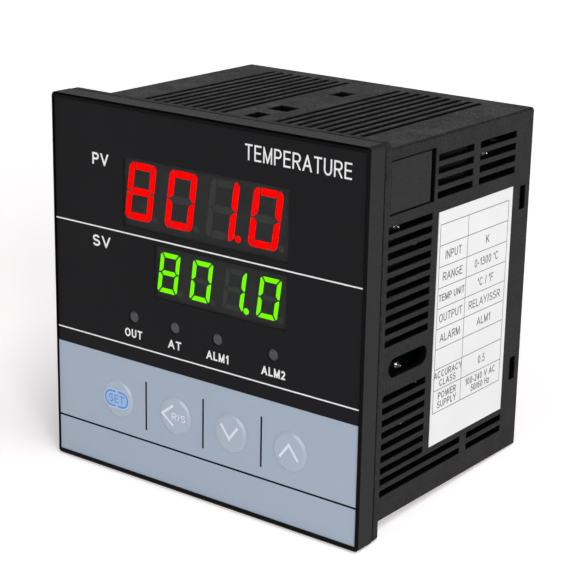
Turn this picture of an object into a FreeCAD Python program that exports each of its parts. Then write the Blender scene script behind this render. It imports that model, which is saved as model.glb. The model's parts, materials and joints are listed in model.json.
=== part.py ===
import FreeCAD, Part
import math
import os

# Panel-mount temperature controller, 1/4 DIN size. Millimetres.
# The origin is the middle of the panel seat: the rear face of the case flange, which lies against
# the front of the panel. +Y points into the panel, +Z up, and the front looks along -Y, so +X is to
# the right of someone who reads the display. "Right" and "left" below are that person's.

Vector = FreeCAD.Vector
SIDES = (-1, 1)  # left and right, or bottom and top
TINY = 1e-6
OVERRUN = 1.0  # how far a cutting tool runs past the face it opens

# ---- case ------------------------------------------------------------------------------------
BODY_SIZE = 90.8  # square part that passes through the panel's cut-out
BODY_DEPTH = 68.0  # behind the panel seat
CASE_WALL = 2.0
BODY_EDGE_R = 0.8
BODY_REAR_R = 0.5
FLANGE_LIP = 2.6  # how far the flange stands out round the body
FLANGE_THICK = 1.8
FLANGE_CORNER_R = 1.5
PARTING_CHAMFER = 0.15  # on the edge of the flange that meets the bezel
PARTING_GROOVE = (0.6, 1.0)  # width and depth of the groove between the bezel and the flange

# ---- bezel and film ---------------------------------------------------------------------------
BEZEL_DEPTH = 6.6
BEZEL_WALL = 2.0
BEZEL_PLATE = 2.0
BEZEL_CORNER_R = 1.0
BEZEL_FRONT_R = 0.6
RIM_SIDE = 0.7  # rim left and right of the film
RIM_TOP = 1.2  # rim above and below the film
FILM_RECESS = 0.4
FILM_THICK = 0.4
FILM_GAP = 0.1

# ---- general clearances -----------------------------------------------------------------------
FIT_GAP = 0.2  # between pieces that slip together
LOOSE_GAP = 0.3  # between pieces that only pass each other
BOARD_THICK = 1.6

# ---- slots in the case ------------------------------------------------------------------------
VENT_WIDTH = 1.75
VENT_PITCH = 3.01
SHORT_VENT_Y = (4.0, 22.4)  # the bank behind the flange
UPPER_VENT_Z = 26.3  # highest slot of the ten above the side hole
UPPER_VENT_COUNT = 10
LOWER_VENT_Z = -14.3  # highest slot of the seven below it
LOWER_VENT_COUNT = 7
REAR_VENT_Z = 39.9  # highest slot of the four beside the latch
REAR_VENT_COUNT = 4
REAR_VENT_Y = ((24.0, 39.7), (42.5, 59.7))
LONG_VENT_Z = -35.2
LONG_VENT_COUNT = 2
LONG_VENT_Y = ((4.0, 39.7), (42.7, 59.7))
ROOF_VENT_X = 8.3  # innermost slot of each bank in the roof and the floor
ROOF_VENT_COUNT = 9
ROOF_VENT_PITCH = 3.08
ROOF_VENT_Y = (4.1, 62.8)

# ---- holes for the mounting clamps ------------------------------------------------------------
SOCKET_WIDTH = 4.4
SOCKET_LENGTH = 6.0
CATCH_WIDTH = 6.2
SOCKET_Y = (13.3, 48.5)  # middles of the two narrow sockets
CATCH_Y = 23.8  # middle of the wide one
SIDE_HOLE_Y = (6.0, 22.4)
SIDE_HOLE_WIDTH = 4.8
SIDE_HOLE_Z = -7.45

# ---- bezel latches ----------------------------------------------------------------------------
LATCH_WINDOW_Y = (4.2, 22.8)
LATCH_WINDOW_Z = (29.7, 42.6)
LATCH_REAR_GAP = 1.7
LATCH_SIDE_GAP = 0.4
LATCH_SUNK = 0.2  # the pad's face below the case's face
LATCH_THICK = 1.8

# ---- display modules: middle, size and digits -------------------------------------------------
DISPLAY_SETBACK = 0.2  # display face behind the film
DISPLAY_DEPTH = 8.0  # display face to the display board
PV_X, PV_Z = -0.05, 26.9
PV_WIDTH, PV_HEIGHT = 52.0, 19.0
PV_DIGIT = {"pitch": 12.77, "width": 8.6, "height": 14.4, "stroke": 1.8, "gap": 0.36,
            "mitre": 0.3, "corner": 1.1, "dot_x": 4.7, "dot_z": -6.25, "dot_r": 0.85}
SV_X, SV_Z = 5.07, 8.1
SV_WIDTH, SV_HEIGHT = 40.8, 14.4
SV_BODY = 7.0  # the smaller module stands on feet that make up the rest of the depth
SV_DIGIT = {"pitch": 10.2, "width": 6.2, "height": 10.2, "stroke": 1.2, "gap": 0.42,
            "mitre": 1.15, "corner": 0.7, "dot_x": 3.55, "dot_z": -4.55, "dot_r": 0.8}
DIGIT_COUNT = 4
DIGIT_SLANT = math.tan(math.radians(7.5))
SEGMENT_DEPTH = 0.6
FOOT_SIZE = 2.0

# ---- keys, switches and lamps -----------------------------------------------------------------
KEYS = {"set": -26.7, "shift": -7.7, "down": 9.8, "up": 27.8}
KEY_Z = -28.0
KEY_R = 4.8
KEY_GAP = 0.2
KEY_PROUD = 0.3
KEY_BEVEL = 0.7
KEY_TRAVEL = 0.4
PLUNGER_R = 1.7
PLUNGER_GAP = 0.15
PLUNGER_TAIL = 1.1  # inside its switch
SWITCH_SIZE = 6.0
SWITCH_HEIGHT = 3.5
LAMPS = {"output": -21.3, "autotune": -8.0, "alarm_1": 5.4, "alarm_2": 22.2}
LAMP_Z = -5.2
LAMP_R = 1.5
LAMP_LENGTH = 5.3
LAMP_BASE_R = 1.9
LAMP_BASE = 1.0
LAMP_LEG = 0.5
LAMP_LEG_PITCH = 2.54

# ---- display board and its screws -------------------------------------------------------------
DISPLAY_BOARD_SIDE_GAP = 2.9  # to the case's inner wall, past the latch arms
DISPLAY_BOARD_TOP_GAP = 1.4
BOSS_INSET_X = 9.4  # boss middles from the case's inner walls
BOSS_INSET_Z = 6.4
BOSS_R = 2.6
BOSS_BORE_R = 1.35
BOARD_SCREW_R = 1.25
BOARD_SCREW_HOLE_R = 1.5
BOARD_SCREW_HEAD_R = 2.4
BOARD_SCREW_HEAD = 1.8
BOARD_SCREW_LENGTH = 6.0

# ---- the two boards that stand along the side walls -------------------------------------------
SIDE_BOARD_WALL_GAP = 4.4  # outer face to the case's inner wall
SIDE_BOARD_EDGE_GAP = 0.5
SIDE_BOARD_FRONT_GAP = 1.4  # behind the display board
SIDE_BOARD_REAR = 10.0  # from the rear edge of the case
RAIL_THICK = 1.2
RAIL_HEIGHT = 3.0
RAIL_REAR = 8.0  # rails end here, where the rear cover's skirt seats
HEADER_SIZE = 2.5
HEADER_HALF = 12.0
SOLDER_HEIGHT = 1.3
SOLDER_R = 0.9
SOLDER_TIP_R = 0.35
PIN_SOLDER_R = 1.35
PIN_HOLE_R = 1.0

# ---- rear terminals ---------------------------------------------------------------------------
TERMINAL_COUNT = 7  # on each side
TERMINAL_PITCH = 10.0
BLOCK_WIDTH = 16.4
BLOCK_LENGTH = 18.5
BLOCK_END_WALL = 0.8
BLOCK_RECESS = 1.5  # rear faces of the blocks from the rear edge of the case
BAY_WIDTH = 8.4
BAY_DEPTH = 9.5
BAY_SIDE_WALL = 1.2
STRIP_THICK = 1.0
STRIP_HALF_WIDTH = 3.6
STRIP_INSET = 0.4
PIN_WIDTH = 1.0
PIN_HALF_HEIGHT = 0.8
PIN_DROP = 5.0
PIN_SHORT = 0.1  # pin end from the outer face of its board
CLAMP_SIZE = 7.0
CLAMP_THICK = 0.8
CLAMP_HOLE_R = 1.95
TERMINAL_SCREW_INSET = 5.6  # from the block's inner face
TERMINAL_SCREW_R = 1.75
TERMINAL_SCREW_LENGTH = 6.0
STRIP_HOLE_R = 1.85
SCREW_WELL_R = 2.0
SCREW_HEAD_R = 3.2
SCREW_HEAD = 2.2
RECESS_WIDTH = 0.9
RECESS_LENGTH = 3.8
RECESS_DEPTH = 1.1
SMALL_RECESS = 0.7  # a board screw's cross against a terminal screw's

# ---- rear cover and label ---------------------------------------------------------------------
COVER_INSET = 0.3
COVER_PLATE = 2.0
COVER_SKIRT = 1.6
SNAP_WINDOW_Y = (5.2, 2.3)  # from the rear edge of the case
SNAP_WINDOW_HEIGHT = 6.2
SNAP_Z = 22.9
SNAP_GAP = 0.3
SNAP_SUNK = 1.2
LABEL_WIDTH = 34.1
LABEL_HEIGHT = 59.3
LABEL_THICK = 0.15
LABEL_REAR = 8.9  # from the rear edge of the case
LABEL_Z = -3.05

# ---- worked out from the above ----------------------------------------------------------------
BODY_HALF = BODY_SIZE / 2
INNER_HALF = BODY_HALF - CASE_WALL
BEZEL_SIZE = BODY_SIZE + 2 * FLANGE_LIP
BEZEL_HALF = BEZEL_SIZE / 2
FLANGE_FRONT = -FLANGE_THICK
FACE_Y = FLANGE_FRONT - BEZEL_DEPTH
FILM_FRONT = FACE_Y + FILM_RECESS
FILM_BACK = FILM_FRONT + FILM_THICK
PLATE_BACK = FILM_BACK + BEZEL_PLATE
DISPLAY_FACE = FILM_BACK + DISPLAY_SETBACK
BOARD_FRONT = DISPLAY_FACE + DISPLAY_DEPTH
BOARD_BACK = BOARD_FRONT + BOARD_THICK
SWITCH_FRONT = BOARD_FRONT - SWITCH_HEIGHT
SIDE_BOARD_OUTER = INNER_HALF - SIDE_BOARD_WALL_GAP
SIDE_BOARD_INNER = SIDE_BOARD_OUTER - BOARD_THICK
SIDE_BOARD_Y = (BOARD_BACK + SIDE_BOARD_FRONT_GAP, BODY_DEPTH - SIDE_BOARD_REAR)
SKIRT_FRONT = BODY_DEPTH - RAIL_REAR
BLOCK_REAR = BODY_DEPTH - BLOCK_RECESS
BLOCK_FRONT = BLOCK_REAR - BLOCK_LENGTH
BLOCK_INNER = SIDE_BOARD_INNER - BLOCK_WIDTH
BAY_FLOOR = BLOCK_REAR - BAY_DEPTH
STRIP_FRONT = BAY_FLOOR - STRIP_THICK
TERMINAL_SCREW_X = BLOCK_INNER + TERMINAL_SCREW_INSET
TERMINAL_Z = [(i - (TERMINAL_COUNT - 1) / 2) * TERMINAL_PITCH for i in range(TERMINAL_COUNT)]
BLOCK_HALF = TERMINAL_COUNT * TERMINAL_PITCH / 2 + BLOCK_END_WALL
PIN_Y = STRIP_FRONT - PIN_DROP + PIN_WIDTH / 2
BOSSES = [(sx * (INNER_HALF - BOSS_INSET_X), sz * (INNER_HALF - BOSS_INSET_Z))
          for sx in SIDES for sz in SIDES]


# ---- helpers ----------------------------------------------------------------------------------
def box(x, y, z):
    """A box between two ends on each axis, given in either order."""
    low = [min(pair) for pair in (x, y, z)]
    size = [max(pair) - min(pair) for pair in (x, y, z)]
    return Part.makeBox(*size, Vector(*low))


def rod(axis, start, end, a, b, radius):
    """A cylinder along X or Y, from start to end; a and b are its place on the other two axes."""
    low, length = min(start, end), abs(end - start)
    if axis == "x":
        return Part.makeCylinder(radius, length, Vector(low, a, b), Vector(1, 0, 0))
    return Part.makeCylinder(radius, length, Vector(a, low, b), Vector(0, 1, 0))


def both(middle, half):
    """The two ends of a length that is centred on middle."""
    return middle - half, middle + half


def prism(points, y, depth):
    """A flat outline of (x, z) points at this Y, pushed back by depth."""
    ring = [Vector(x, y, z) for x, z in points]
    return Part.Face(Part.makePolygon(ring + ring[:1])).extrude(Vector(0, depth, 0))


def rounded_block(half, corner_r, y):
    """A square block, with its four long edges along Y rounded."""
    block = box((-half, half), y, (-half, half))
    long_edges = [e for e in block.Edges if abs(e.tangentAt(e.FirstParameter).y) > 1 - TINY]
    return block.makeFillet(corner_r, long_edges)


def edges_at(shape, y):
    """The edges of a shape that lie in the plane at this Y."""
    return [e for e in shape.Edges if all(abs(v.Point.y - y) < TINY for v in e.Vertexes)]


def group(shapes):
    return Part.makeCompound(shapes)


def mirrored(shape):
    """The same shape on the other side of the middle plane."""
    return shape.mirror(Vector(0, 0, 0), Vector(1, 0, 0))


def save(name, shape):
    shape.exportStep(f"parts/{name}.step")
    print(f"{name:26s} {len(shape.Solids):3d} solids {shape.Volume:10.1f} mm3")


# ---- case -------------------------------------------------------------------------------------
def side_openings(side):
    """Slots, the side hole, the latch window and the snap windows of one side wall."""
    through = (side * (INNER_HALF - OVERRUN), side * (BODY_HALF + OVERRUN))

    def vent(y, z):
        return box(through, y, both(z, VENT_WIDTH / 2))

    cuts = [vent(SHORT_VENT_Y, UPPER_VENT_Z - i * VENT_PITCH) for i in range(UPPER_VENT_COUNT)]
    cuts += [vent(SHORT_VENT_Y, LOWER_VENT_Z - i * VENT_PITCH) for i in range(LOWER_VENT_COUNT)]
    for y in REAR_VENT_Y:
        cuts += [vent(y, REAR_VENT_Z - i * VENT_PITCH) for i in range(REAR_VENT_COUNT)]
    for y in LONG_VENT_Y:
        cuts += [vent(y, LONG_VENT_Z - i * VENT_PITCH) for i in range(LONG_VENT_COUNT)]

    r = SIDE_HOLE_WIDTH / 2
    ends = (SIDE_HOLE_Y[0] + r, SIDE_HOLE_Y[1] - r)
    hole = box(through, ends, both(SIDE_HOLE_Z, r))
    for y in ends:
        hole = hole.fuse(rod("x", *through, y, SIDE_HOLE_Z, r))
    cuts.append(hole.removeSplitter())

    cuts.append(box(through, LATCH_WINDOW_Y, LATCH_WINDOW_Z))
    snap_y = [BODY_DEPTH - distance for distance in SNAP_WINDOW_Y]
    cuts += [box(through, snap_y, both(s * SNAP_Z, SNAP_WINDOW_HEIGHT / 2)) for s in SIDES]
    return cuts


def roof_openings(side):
    """Slots and clamp sockets of the roof (side 1) or the floor (side -1)."""
    through = (side * (INNER_HALF - OVERRUN), side * (BODY_HALF + OVERRUN))
    cuts = []
    for bank in SIDES:
        for i in range(ROOF_VENT_COUNT):
            x = bank * (ROOF_VENT_X + i * ROOF_VENT_PITCH)
            cuts.append(box(both(x, VENT_WIDTH / 2), ROOF_VENT_Y, through))
    for y in SOCKET_Y:
        cuts.append(box(both(0, SOCKET_WIDTH / 2), both(y, SOCKET_LENGTH / 2), through))
    cuts.append(box(both(0, CATCH_WIDTH / 2), both(CATCH_Y, SOCKET_LENGTH / 2), through))
    return cuts


def board_rails():
    """Pairs of ribs in the roof and the floor that hold the edges of the two side boards."""
    rails = []
    for sx in SIDES:
        for inner in (SIDE_BOARD_INNER - LOOSE_GAP - RAIL_THICK, SIDE_BOARD_OUTER + LOOSE_GAP):
            for sz in SIDES:
                height = (sz * (INNER_HALF - RAIL_HEIGHT), sz * (INNER_HALF + CASE_WALL / 2))
                rails.append(box((sx * inner, sx * (inner + RAIL_THICK)),
                                 (SIDE_BOARD_Y[0], SKIRT_FRONT), height))
    return rails


def case_shell():
    body = rounded_block(BODY_HALF, BODY_EDGE_R, (FLANGE_FRONT, BODY_DEPTH))
    body = body.makeFillet(BODY_REAR_R, edges_at(body, BODY_DEPTH))
    flange = rounded_block(BEZEL_HALF, FLANGE_CORNER_R, (FLANGE_FRONT, 0))
    flange = flange.makeChamfer(PARTING_CHAMFER, edges_at(flange, FLANGE_FRONT))
    shell = body.fuse(flange).removeSplitter()
    inner = (-INNER_HALF, INNER_HALF)
    shell = shell.cut(box(inner, (FLANGE_FRONT - OVERRUN, BODY_DEPTH + OVERRUN), inner))
    shell = shell.fuse(board_rails())
    openings = []
    for side in SIDES:
        openings += side_openings(side) + roof_openings(side)
    return shell.cut(openings).removeSplitter()


# ---- bezel and film ---------------------------------------------------------------------------
def latch_arm(side):
    """A springy arm inside the case wall, with a pad that fills the wall's window."""
    outer = INNER_HALF - LOOSE_GAP
    rear = LATCH_WINDOW_Y[1] - LATCH_REAR_GAP
    z = (LATCH_WINDOW_Z[0] + LATCH_SIDE_GAP, LATCH_WINDOW_Z[1] - LATCH_SIDE_GAP)
    arm = box((side * (outer - LATCH_THICK), side * outer), (PLATE_BACK - OVERRUN, rear), z)
    pad = box((side * (outer - LATCH_THICK), side * (BODY_HALF - LATCH_SUNK)),
              (LATCH_WINDOW_Y[0] + LATCH_SIDE_GAP, rear), z)
    return arm.fuse(pad)


def film_area(gap):
    """Half width and half height of the film, or of its recess when gap is 0."""
    return BEZEL_HALF - RIM_SIDE - gap, BEZEL_HALF - RIM_TOP - gap


def front_bezel():
    bezel = rounded_block(BEZEL_HALF, BEZEL_CORNER_R, (FACE_Y, FLANGE_FRONT))
    bezel = bezel.makeFillet(BEZEL_FRONT_R, edges_at(bezel, FACE_Y))
    width, depth = PARTING_GROOVE
    groove_y = (FLANGE_FRONT - width, FLANGE_FRONT + OVERRUN)
    groove = rounded_block(BEZEL_HALF + OVERRUN, BEZEL_CORNER_R, groove_y)
    bezel = bezel.cut(groove.cut(rounded_block(BEZEL_HALF - depth, BEZEL_CORNER_R, groove_y)))
    inner = (-BEZEL_HALF + BEZEL_WALL, BEZEL_HALF - BEZEL_WALL)
    bezel = bezel.cut(box(inner, (PLATE_BACK, FLANGE_FRONT + OVERRUN), inner))
    half_x, half_z = film_area(0)
    bezel = bezel.cut(box((-half_x, half_x), (FACE_Y - OVERRUN, FILM_BACK), (-half_z, half_z)))

    bezel = bezel.fuse([rod("y", PLATE_BACK - OVERRUN, BOARD_FRONT, x, z, BOSS_R) for x, z in BOSSES])
    bezel = bezel.fuse([latch_arm(side) for side in SIDES])

    through = (FILM_BACK - OVERRUN, PLATE_BACK + OVERRUN)
    cuts = [box(both(x, width / 2 + FIT_GAP), through, both(z, height / 2 + FIT_GAP))
            for x, z, width, height in ((PV_X, PV_Z, PV_WIDTH, PV_HEIGHT),
                                        (SV_X, SV_Z, SV_WIDTH, SV_HEIGHT))]
    cuts += [rod("y", *through, x, KEY_Z, KEY_R + 2 * KEY_GAP) for x in KEYS.values()]
    cuts += [rod("y", *through, x, LAMP_Z, LAMP_R + FIT_GAP) for x in LAMPS.values()]
    cuts += [rod("y", PLATE_BACK, BOARD_FRONT + OVERRUN, x, z, BOSS_BORE_R) for x, z in BOSSES]
    return bezel.cut(cuts).removeSplitter()


def front_overlay():
    """The printed film, with a hole for each key."""
    half_x, half_z = film_area(FILM_GAP)
    film = box((-half_x, half_x), (FILM_FRONT, FILM_BACK), (-half_z, half_z))
    through = (FILM_FRONT - OVERRUN, FILM_BACK + OVERRUN)
    return film.cut([rod("y", *through, x, KEY_Z, KEY_R + KEY_GAP) for x in KEYS.values()])


# ---- keys and switches ------------------------------------------------------------------------
def key_cap(x):
    """A disc flush in the film, with a sloped edge up to its raised face."""
    disc = rod("y", FILM_FRONT, FILM_BACK, x, KEY_Z, KEY_R)
    crown = Part.makeCone(KEY_R, KEY_R - KEY_BEVEL, KEY_PROUD, Vector(x, FILM_FRONT, KEY_Z),
                          Vector(0, -1, 0))
    return disc.fuse(crown).removeSplitter()


def key_plunger(x):
    return rod("y", FILM_BACK, SWITCH_FRONT + PLUNGER_TAIL, x, KEY_Z, PLUNGER_R)


def key_switch(x):
    """The body of a push switch. Its bore is deep enough for the tail and the whole travel."""
    half = SWITCH_SIZE / 2
    body = box(both(x, half), (SWITCH_FRONT, BOARD_FRONT), both(KEY_Z, half))
    bore_end = SWITCH_FRONT + PLUNGER_TAIL + KEY_TRAVEL + LOOSE_GAP
    return body.cut(rod("y", SWITCH_FRONT - OVERRUN, bore_end, x, KEY_Z, PLUNGER_R + PLUNGER_GAP))


# ---- lamps ------------------------------------------------------------------------------------
def lamp(x):
    """A round-nosed indicator lamp that stands on its two legs."""
    tip = FILM_BACK + LOOSE_GAP
    base = tip + LAMP_LENGTH
    lens = Part.makeSphere(LAMP_R, Vector(x, tip + LAMP_R, LAMP_Z))
    lens = lens.fuse(rod("y", tip + LAMP_R, base, x, LAMP_Z, LAMP_R))
    lens = lens.fuse(rod("y", base - LAMP_BASE, base, x, LAMP_Z, LAMP_BASE_R))
    legs = [box(both(x + s * LAMP_LEG_PITCH / 2, LAMP_LEG / 2), (base - LAMP_BASE / 2, BOARD_FRONT),
                both(LAMP_Z, LAMP_LEG / 2)) for s in SIDES]
    return lens.fuse(legs).removeSplitter()


# ---- seven-segment displays -------------------------------------------------------------------
def trim(outline, nx, nz, reach):
    """The part of a convex outline where nx * x + nz * z is no more than reach."""
    kept = []
    for (x0, z0), (x1, z1) in zip(outline, outline[1:] + outline[:1]):
        d0, d1 = nx * x0 + nz * z0 - reach, nx * x1 + nz * z1 - reach
        if d0 <= 0:
            kept.append((x0, z0))
        if d0 * d1 < 0:
            share = d0 / (d0 - d1)
            kept.append((x0 + share * (x1 - x0), z0 + share * (z1 - z0)))
    return kept


def inset(outline, distance):
    """A convex outline, listed clockwise, moved in by this distance on every side."""
    result = outline
    for (x0, z0), (x1, z1) in zip(outline, outline[1:] + outline[:1]):
        length = math.hypot(x1 - x0, z1 - z0)
        nx, nz = -(z1 - z0) / length, (x1 - x0) / length
        result = trim(result, nx, nz, nx * x0 + nz * z0 - distance)
    return result


def segment_outlines(digit):
    """The seven outlines of one upright digit about its middle, each listed clockwise."""
    w, h = (digit["width"] + digit["gap"]) / 2, (digit["height"] + digit["gap"]) / 2
    t, m = digit["stroke"] + digit["gap"], digit["mitre"]
    top = [(-w + t - m, h), (w - t + m, h), (w - t, h - t), (-w + t, h - t)]
    left = [(-w, 0), (-w, h), (-w + t - m, h), (-w + t, h - t), (-w + t, t / 2), (-w + t / 2, 0)]
    middle = [(-w + t / 2, 0), (-w + t, t / 2), (w - t, t / 2), (w - t / 2, 0), (w - t, -t / 2),
              (-w + t, -t / 2)]
    if m >= t:  # a full mitre leaves no flat end on the upright segment
        left.pop(2)
        top[0], top[1] = (-w, h), (w, h)

    def flipped(outline, sx, sz):
        turned = [(sx * x, sz * z) for x, z in outline]
        return turned if sx * sz > 0 else turned[::-1]

    outlines = [top, flipped(top, 1, -1), middle]
    outlines += [flipped(left, sx, sz) for sx in SIDES for sz in SIDES]
    corner_reach = w + h - digit["corner"]
    for sx in SIDES:
        for sz in SIDES:
            outlines = [trim(o, sx, sz, corner_reach) for o in outlines]
    return [inset(o, digit["gap"] / 2) for o in outlines]


def display_segments(middle_x, middle_z, digit):
    """Every segment and decimal point of one display, as slanted prisms."""
    solids = []
    for i in range(DIGIT_COUNT):
        x0 = middle_x + (i - (DIGIT_COUNT - 1) / 2) * digit["pitch"]
        for outline in segment_outlines(digit):
            slanted = [(x0 + x + z * DIGIT_SLANT, middle_z + z) for x, z in outline]
            solids.append(prism(slanted, DISPLAY_FACE, SEGMENT_DEPTH))
        solids.append(rod("y", DISPLAY_FACE, DISPLAY_FACE + SEGMENT_DEPTH, x0 + digit["dot_x"],
                          middle_z + digit["dot_z"], digit["dot_r"]))
    return solids


def display_case(middle_x, middle_z, width, height, body_depth, segments):
    """The opaque block of a display, with a pocket for each segment and feet if it is shallow."""
    back = DISPLAY_FACE + body_depth
    case = box(both(middle_x, width / 2), (DISPLAY_FACE, back), both(middle_z, height / 2))
    case = case.cut(segments)
    if back < BOARD_FRONT - TINY:
        for sx in SIDES:
            for sz in SIDES:
                x = middle_x + sx * (width - FOOT_SIZE) / 2
                z = middle_z + sz * (height - FOOT_SIZE) / 2
                case = case.fuse(box(both(x, FOOT_SIZE / 2), (back, BOARD_FRONT),
                                     both(z, FOOT_SIZE / 2)))
    return case.removeSplitter()


# ---- display board ----------------------------------------------------------------------------
def display_board():
    x = INNER_HALF - DISPLAY_BOARD_SIDE_GAP
    z = INNER_HALF - DISPLAY_BOARD_TOP_GAP
    board = box((-x, x), (BOARD_FRONT, BOARD_BACK), (-z, z))
    through = (BOARD_FRONT - OVERRUN, BOARD_BACK + OVERRUN)
    return board.cut([rod("y", *through, bx, bz, BOARD_SCREW_HOLE_R) for bx, bz in BOSSES])


def board_screw(x, z):
    shank = rod("y", BOARD_BACK - BOARD_SCREW_LENGTH, BOARD_BACK, x, z, BOARD_SCREW_R)
    head = rod("y", BOARD_BACK, BOARD_BACK + BOARD_SCREW_HEAD, x, z, BOARD_SCREW_HEAD_R)
    head = head.makeFillet(BOARD_SCREW_HEAD / 3, edges_at(head, BOARD_BACK + BOARD_SCREW_HEAD))
    return shank.fuse(head).cut(cross_recess(x, BOARD_BACK + BOARD_SCREW_HEAD, z,
                                      SMALL_RECESS))


def cross_recess(x, y, z, scale=1.0):
    """The cross cut into a screw head whose top is at y."""
    width, length = scale * RECESS_WIDTH / 2, scale * RECESS_LENGTH / 2
    depth = (y - scale * RECESS_DEPTH, y + OVERRUN)
    return box(both(x, width), depth, both(z, length)).fuse(
        box(both(x, length), depth, both(z, width)))


# ---- side boards ------------------------------------------------------------------------------
# Parts on a side board are placed by their distance from the front of the board, their height Z
# and how far they stand off the board's inner face.
def on_board(side, y, z, stand):
    """A box on a side board."""
    x = [side * (SIDE_BOARD_INNER - h) for h in stand]
    return box(x, [SIDE_BOARD_Y[0] + v for v in y], z)


def can_on_board(side, y, z, radius, stand):
    """An upright cylinder on a side board."""
    x = [side * (SIDE_BOARD_INNER - h) for h in stand]
    return rod("x", *x, SIDE_BOARD_Y[0] + y, z, radius)


def side_board(side):
    z = INNER_HALF - SIDE_BOARD_EDGE_GAP
    faces = (side * SIDE_BOARD_INNER, side * SIDE_BOARD_OUTER)
    board = box(faces, SIDE_BOARD_Y, (-z, z))
    through = (side * (SIDE_BOARD_INNER - OVERRUN), side * (SIDE_BOARD_OUTER + OVERRUN))
    return board.cut([rod("x", *through, PIN_Y, pz, PIN_HOLE_R) for pz in TERMINAL_Z])


def board_header(side):
    """The strip that joins a side board to the display board."""
    return box((side * (SIDE_BOARD_INNER - HEADER_SIZE), side * SIDE_BOARD_INNER),
               (BOARD_BACK, BOARD_BACK + SIDE_BOARD_FRONT_GAP + HEADER_SIZE),
               (-HEADER_HALF, HEADER_HALF))


def solder_joints(side, leads):
    """Cones of solder on a board's outer face: one a terminal pin, and one a lead at (y, z)."""
    def joint(y, z, radius):
        return Part.makeCone(radius, SOLDER_TIP_R, SOLDER_HEIGHT,
                             Vector(side * SIDE_BOARD_OUTER, y, z), Vector(side, 0, 0))

    joints = [joint(PIN_Y, z, PIN_SOLDER_R) for z in TERMINAL_Z]
    joints += [joint(SIDE_BOARD_Y[0] + y, z, SOLDER_R) for y, z in leads]
    return group(joints)


# The narrow two-row chip package.
CHIP_WIDTH = 6.6
CHIP_PITCH = 2.54
CHIP_END = 0.6  # shorter than its rows of legs by this much
CHIP_LEG = 0.5
CHIP_STAND = (0.5, 4.0)
CHIP_LEG_TOP = 2.25


def chip_row(z_middle, pins):
    """The middle of each leg in one row."""
    return [z_middle + (i - (pins / 2 - 1) / 2) * CHIP_PITCH for i in range(pins // 2)]


def chip(side, y, z_middle, pins):
    """A chip standing on its bent legs."""
    length = pins / 2 * CHIP_PITCH - CHIP_END
    body = on_board(side, (y, y + CHIP_WIDTH), both(z_middle, length / 2), CHIP_STAND)
    legs = []
    for z in chip_row(z_middle, pins):
        for face, out in ((y, -CHIP_LEG), (y + CHIP_WIDTH, CHIP_LEG)):
            legs.append(on_board(side, (face, face + out), both(z, CHIP_LEG / 2),
                                 (0, CHIP_LEG_TOP)))
    return body.fuse(legs).removeSplitter()


def chip_leads(y, z_middle, pins):
    rows = (y - CHIP_LEG / 2, y + CHIP_WIDTH + CHIP_LEG / 2)
    return [(row, z) for row in rows for z in chip_row(z_middle, pins)]


# The power supply's transformer: a ferrite core of two E halves, a bobbin round its middle leg
# and the winding on the bobbin.
CORE_MIDDLE = (12.5, 13.0)  # y from the board's front, and z
CORE_HALF = 10.0
CORE_STAND = (6.0, 12.0)
CORE_LEG_HALF = 3.0
CORE_YOKE = 3.5
CORE_OUTER_LEG = 3.0
BOBBIN_WALL = 0.8
BOBBIN_FLANGE_HALF = 6.6
BOBBIN_FLANGE_RISE = 3.5  # above the core
WINDING_WALL = 2.4
PIN_BASE_HALF = 8.0
PIN_BASE_LENGTH = 3.2
PIN_BASE_GAP = 2.0  # under the core


def transformer():
    y0, z0 = CORE_MIDDLE
    stand_middle = sum(CORE_STAND) / 2

    def tube(half_y, half, bore_half):
        """A square tube along the middle leg, about the core's middle."""
        solid = on_board(1, both(y0, half_y), both(z0, half), both(stand_middle, half))
        return solid.cut(on_board(1, both(y0, half_y + OVERRUN), both(z0, bore_half),
                                  both(stand_middle, bore_half)))

    core = on_board(1, both(y0, CORE_HALF), both(z0, CORE_HALF), CORE_STAND)
    window_y = both(y0, CORE_HALF - CORE_YOKE)
    for s in SIDES:
        window_z = (z0 + s * CORE_LEG_HALF, z0 + s * (CORE_HALF - CORE_OUTER_LEG))
        core = core.cut(on_board(1, window_y, window_z, both(stand_middle, CORE_HALF)))

    bore = CORE_LEG_HALF + FILM_GAP
    sleeve = bore + BOBBIN_WALL
    reach = CORE_HALF - CORE_YOKE - FILM_GAP
    bobbin = tube(reach, sleeve, bore)
    for s in SIDES:
        flange_y = (y0 + s * (reach - BOBBIN_WALL), y0 + s * reach)
        flange = on_board(1, flange_y, both(z0, BOBBIN_FLANGE_HALF), (0, CORE_STAND[1] + BOBBIN_FLANGE_RISE))
        flange = flange.cut(on_board(1, both(y0, CORE_HALF), both(z0, bore),
                                     both(stand_middle, bore)))
        base_y = (y0 + s * (reach - BOBBIN_WALL), y0 + s * (reach + PIN_BASE_LENGTH))
        base = on_board(1, base_y, both(z0, PIN_BASE_HALF), (0, CORE_STAND[0] - PIN_BASE_GAP))
        bobbin = bobbin.fuse(flange).fuse(base)
    for s in SIDES:  # the flanges are narrower than the core's window between its outer legs
        leg = (z0 + s * (CORE_HALF - CORE_OUTER_LEG - FILM_GAP), z0 + s * CORE_HALF)
        bobbin = bobbin.cut(on_board(1, window_y, leg, both(stand_middle, CORE_HALF / 3)))
    winding = tube(reach - BOBBIN_WALL - FILM_GAP, sleeve + WINDING_WALL, sleeve + FILM_GAP)
    return core, bobbin.removeSplitter(), winding


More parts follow.
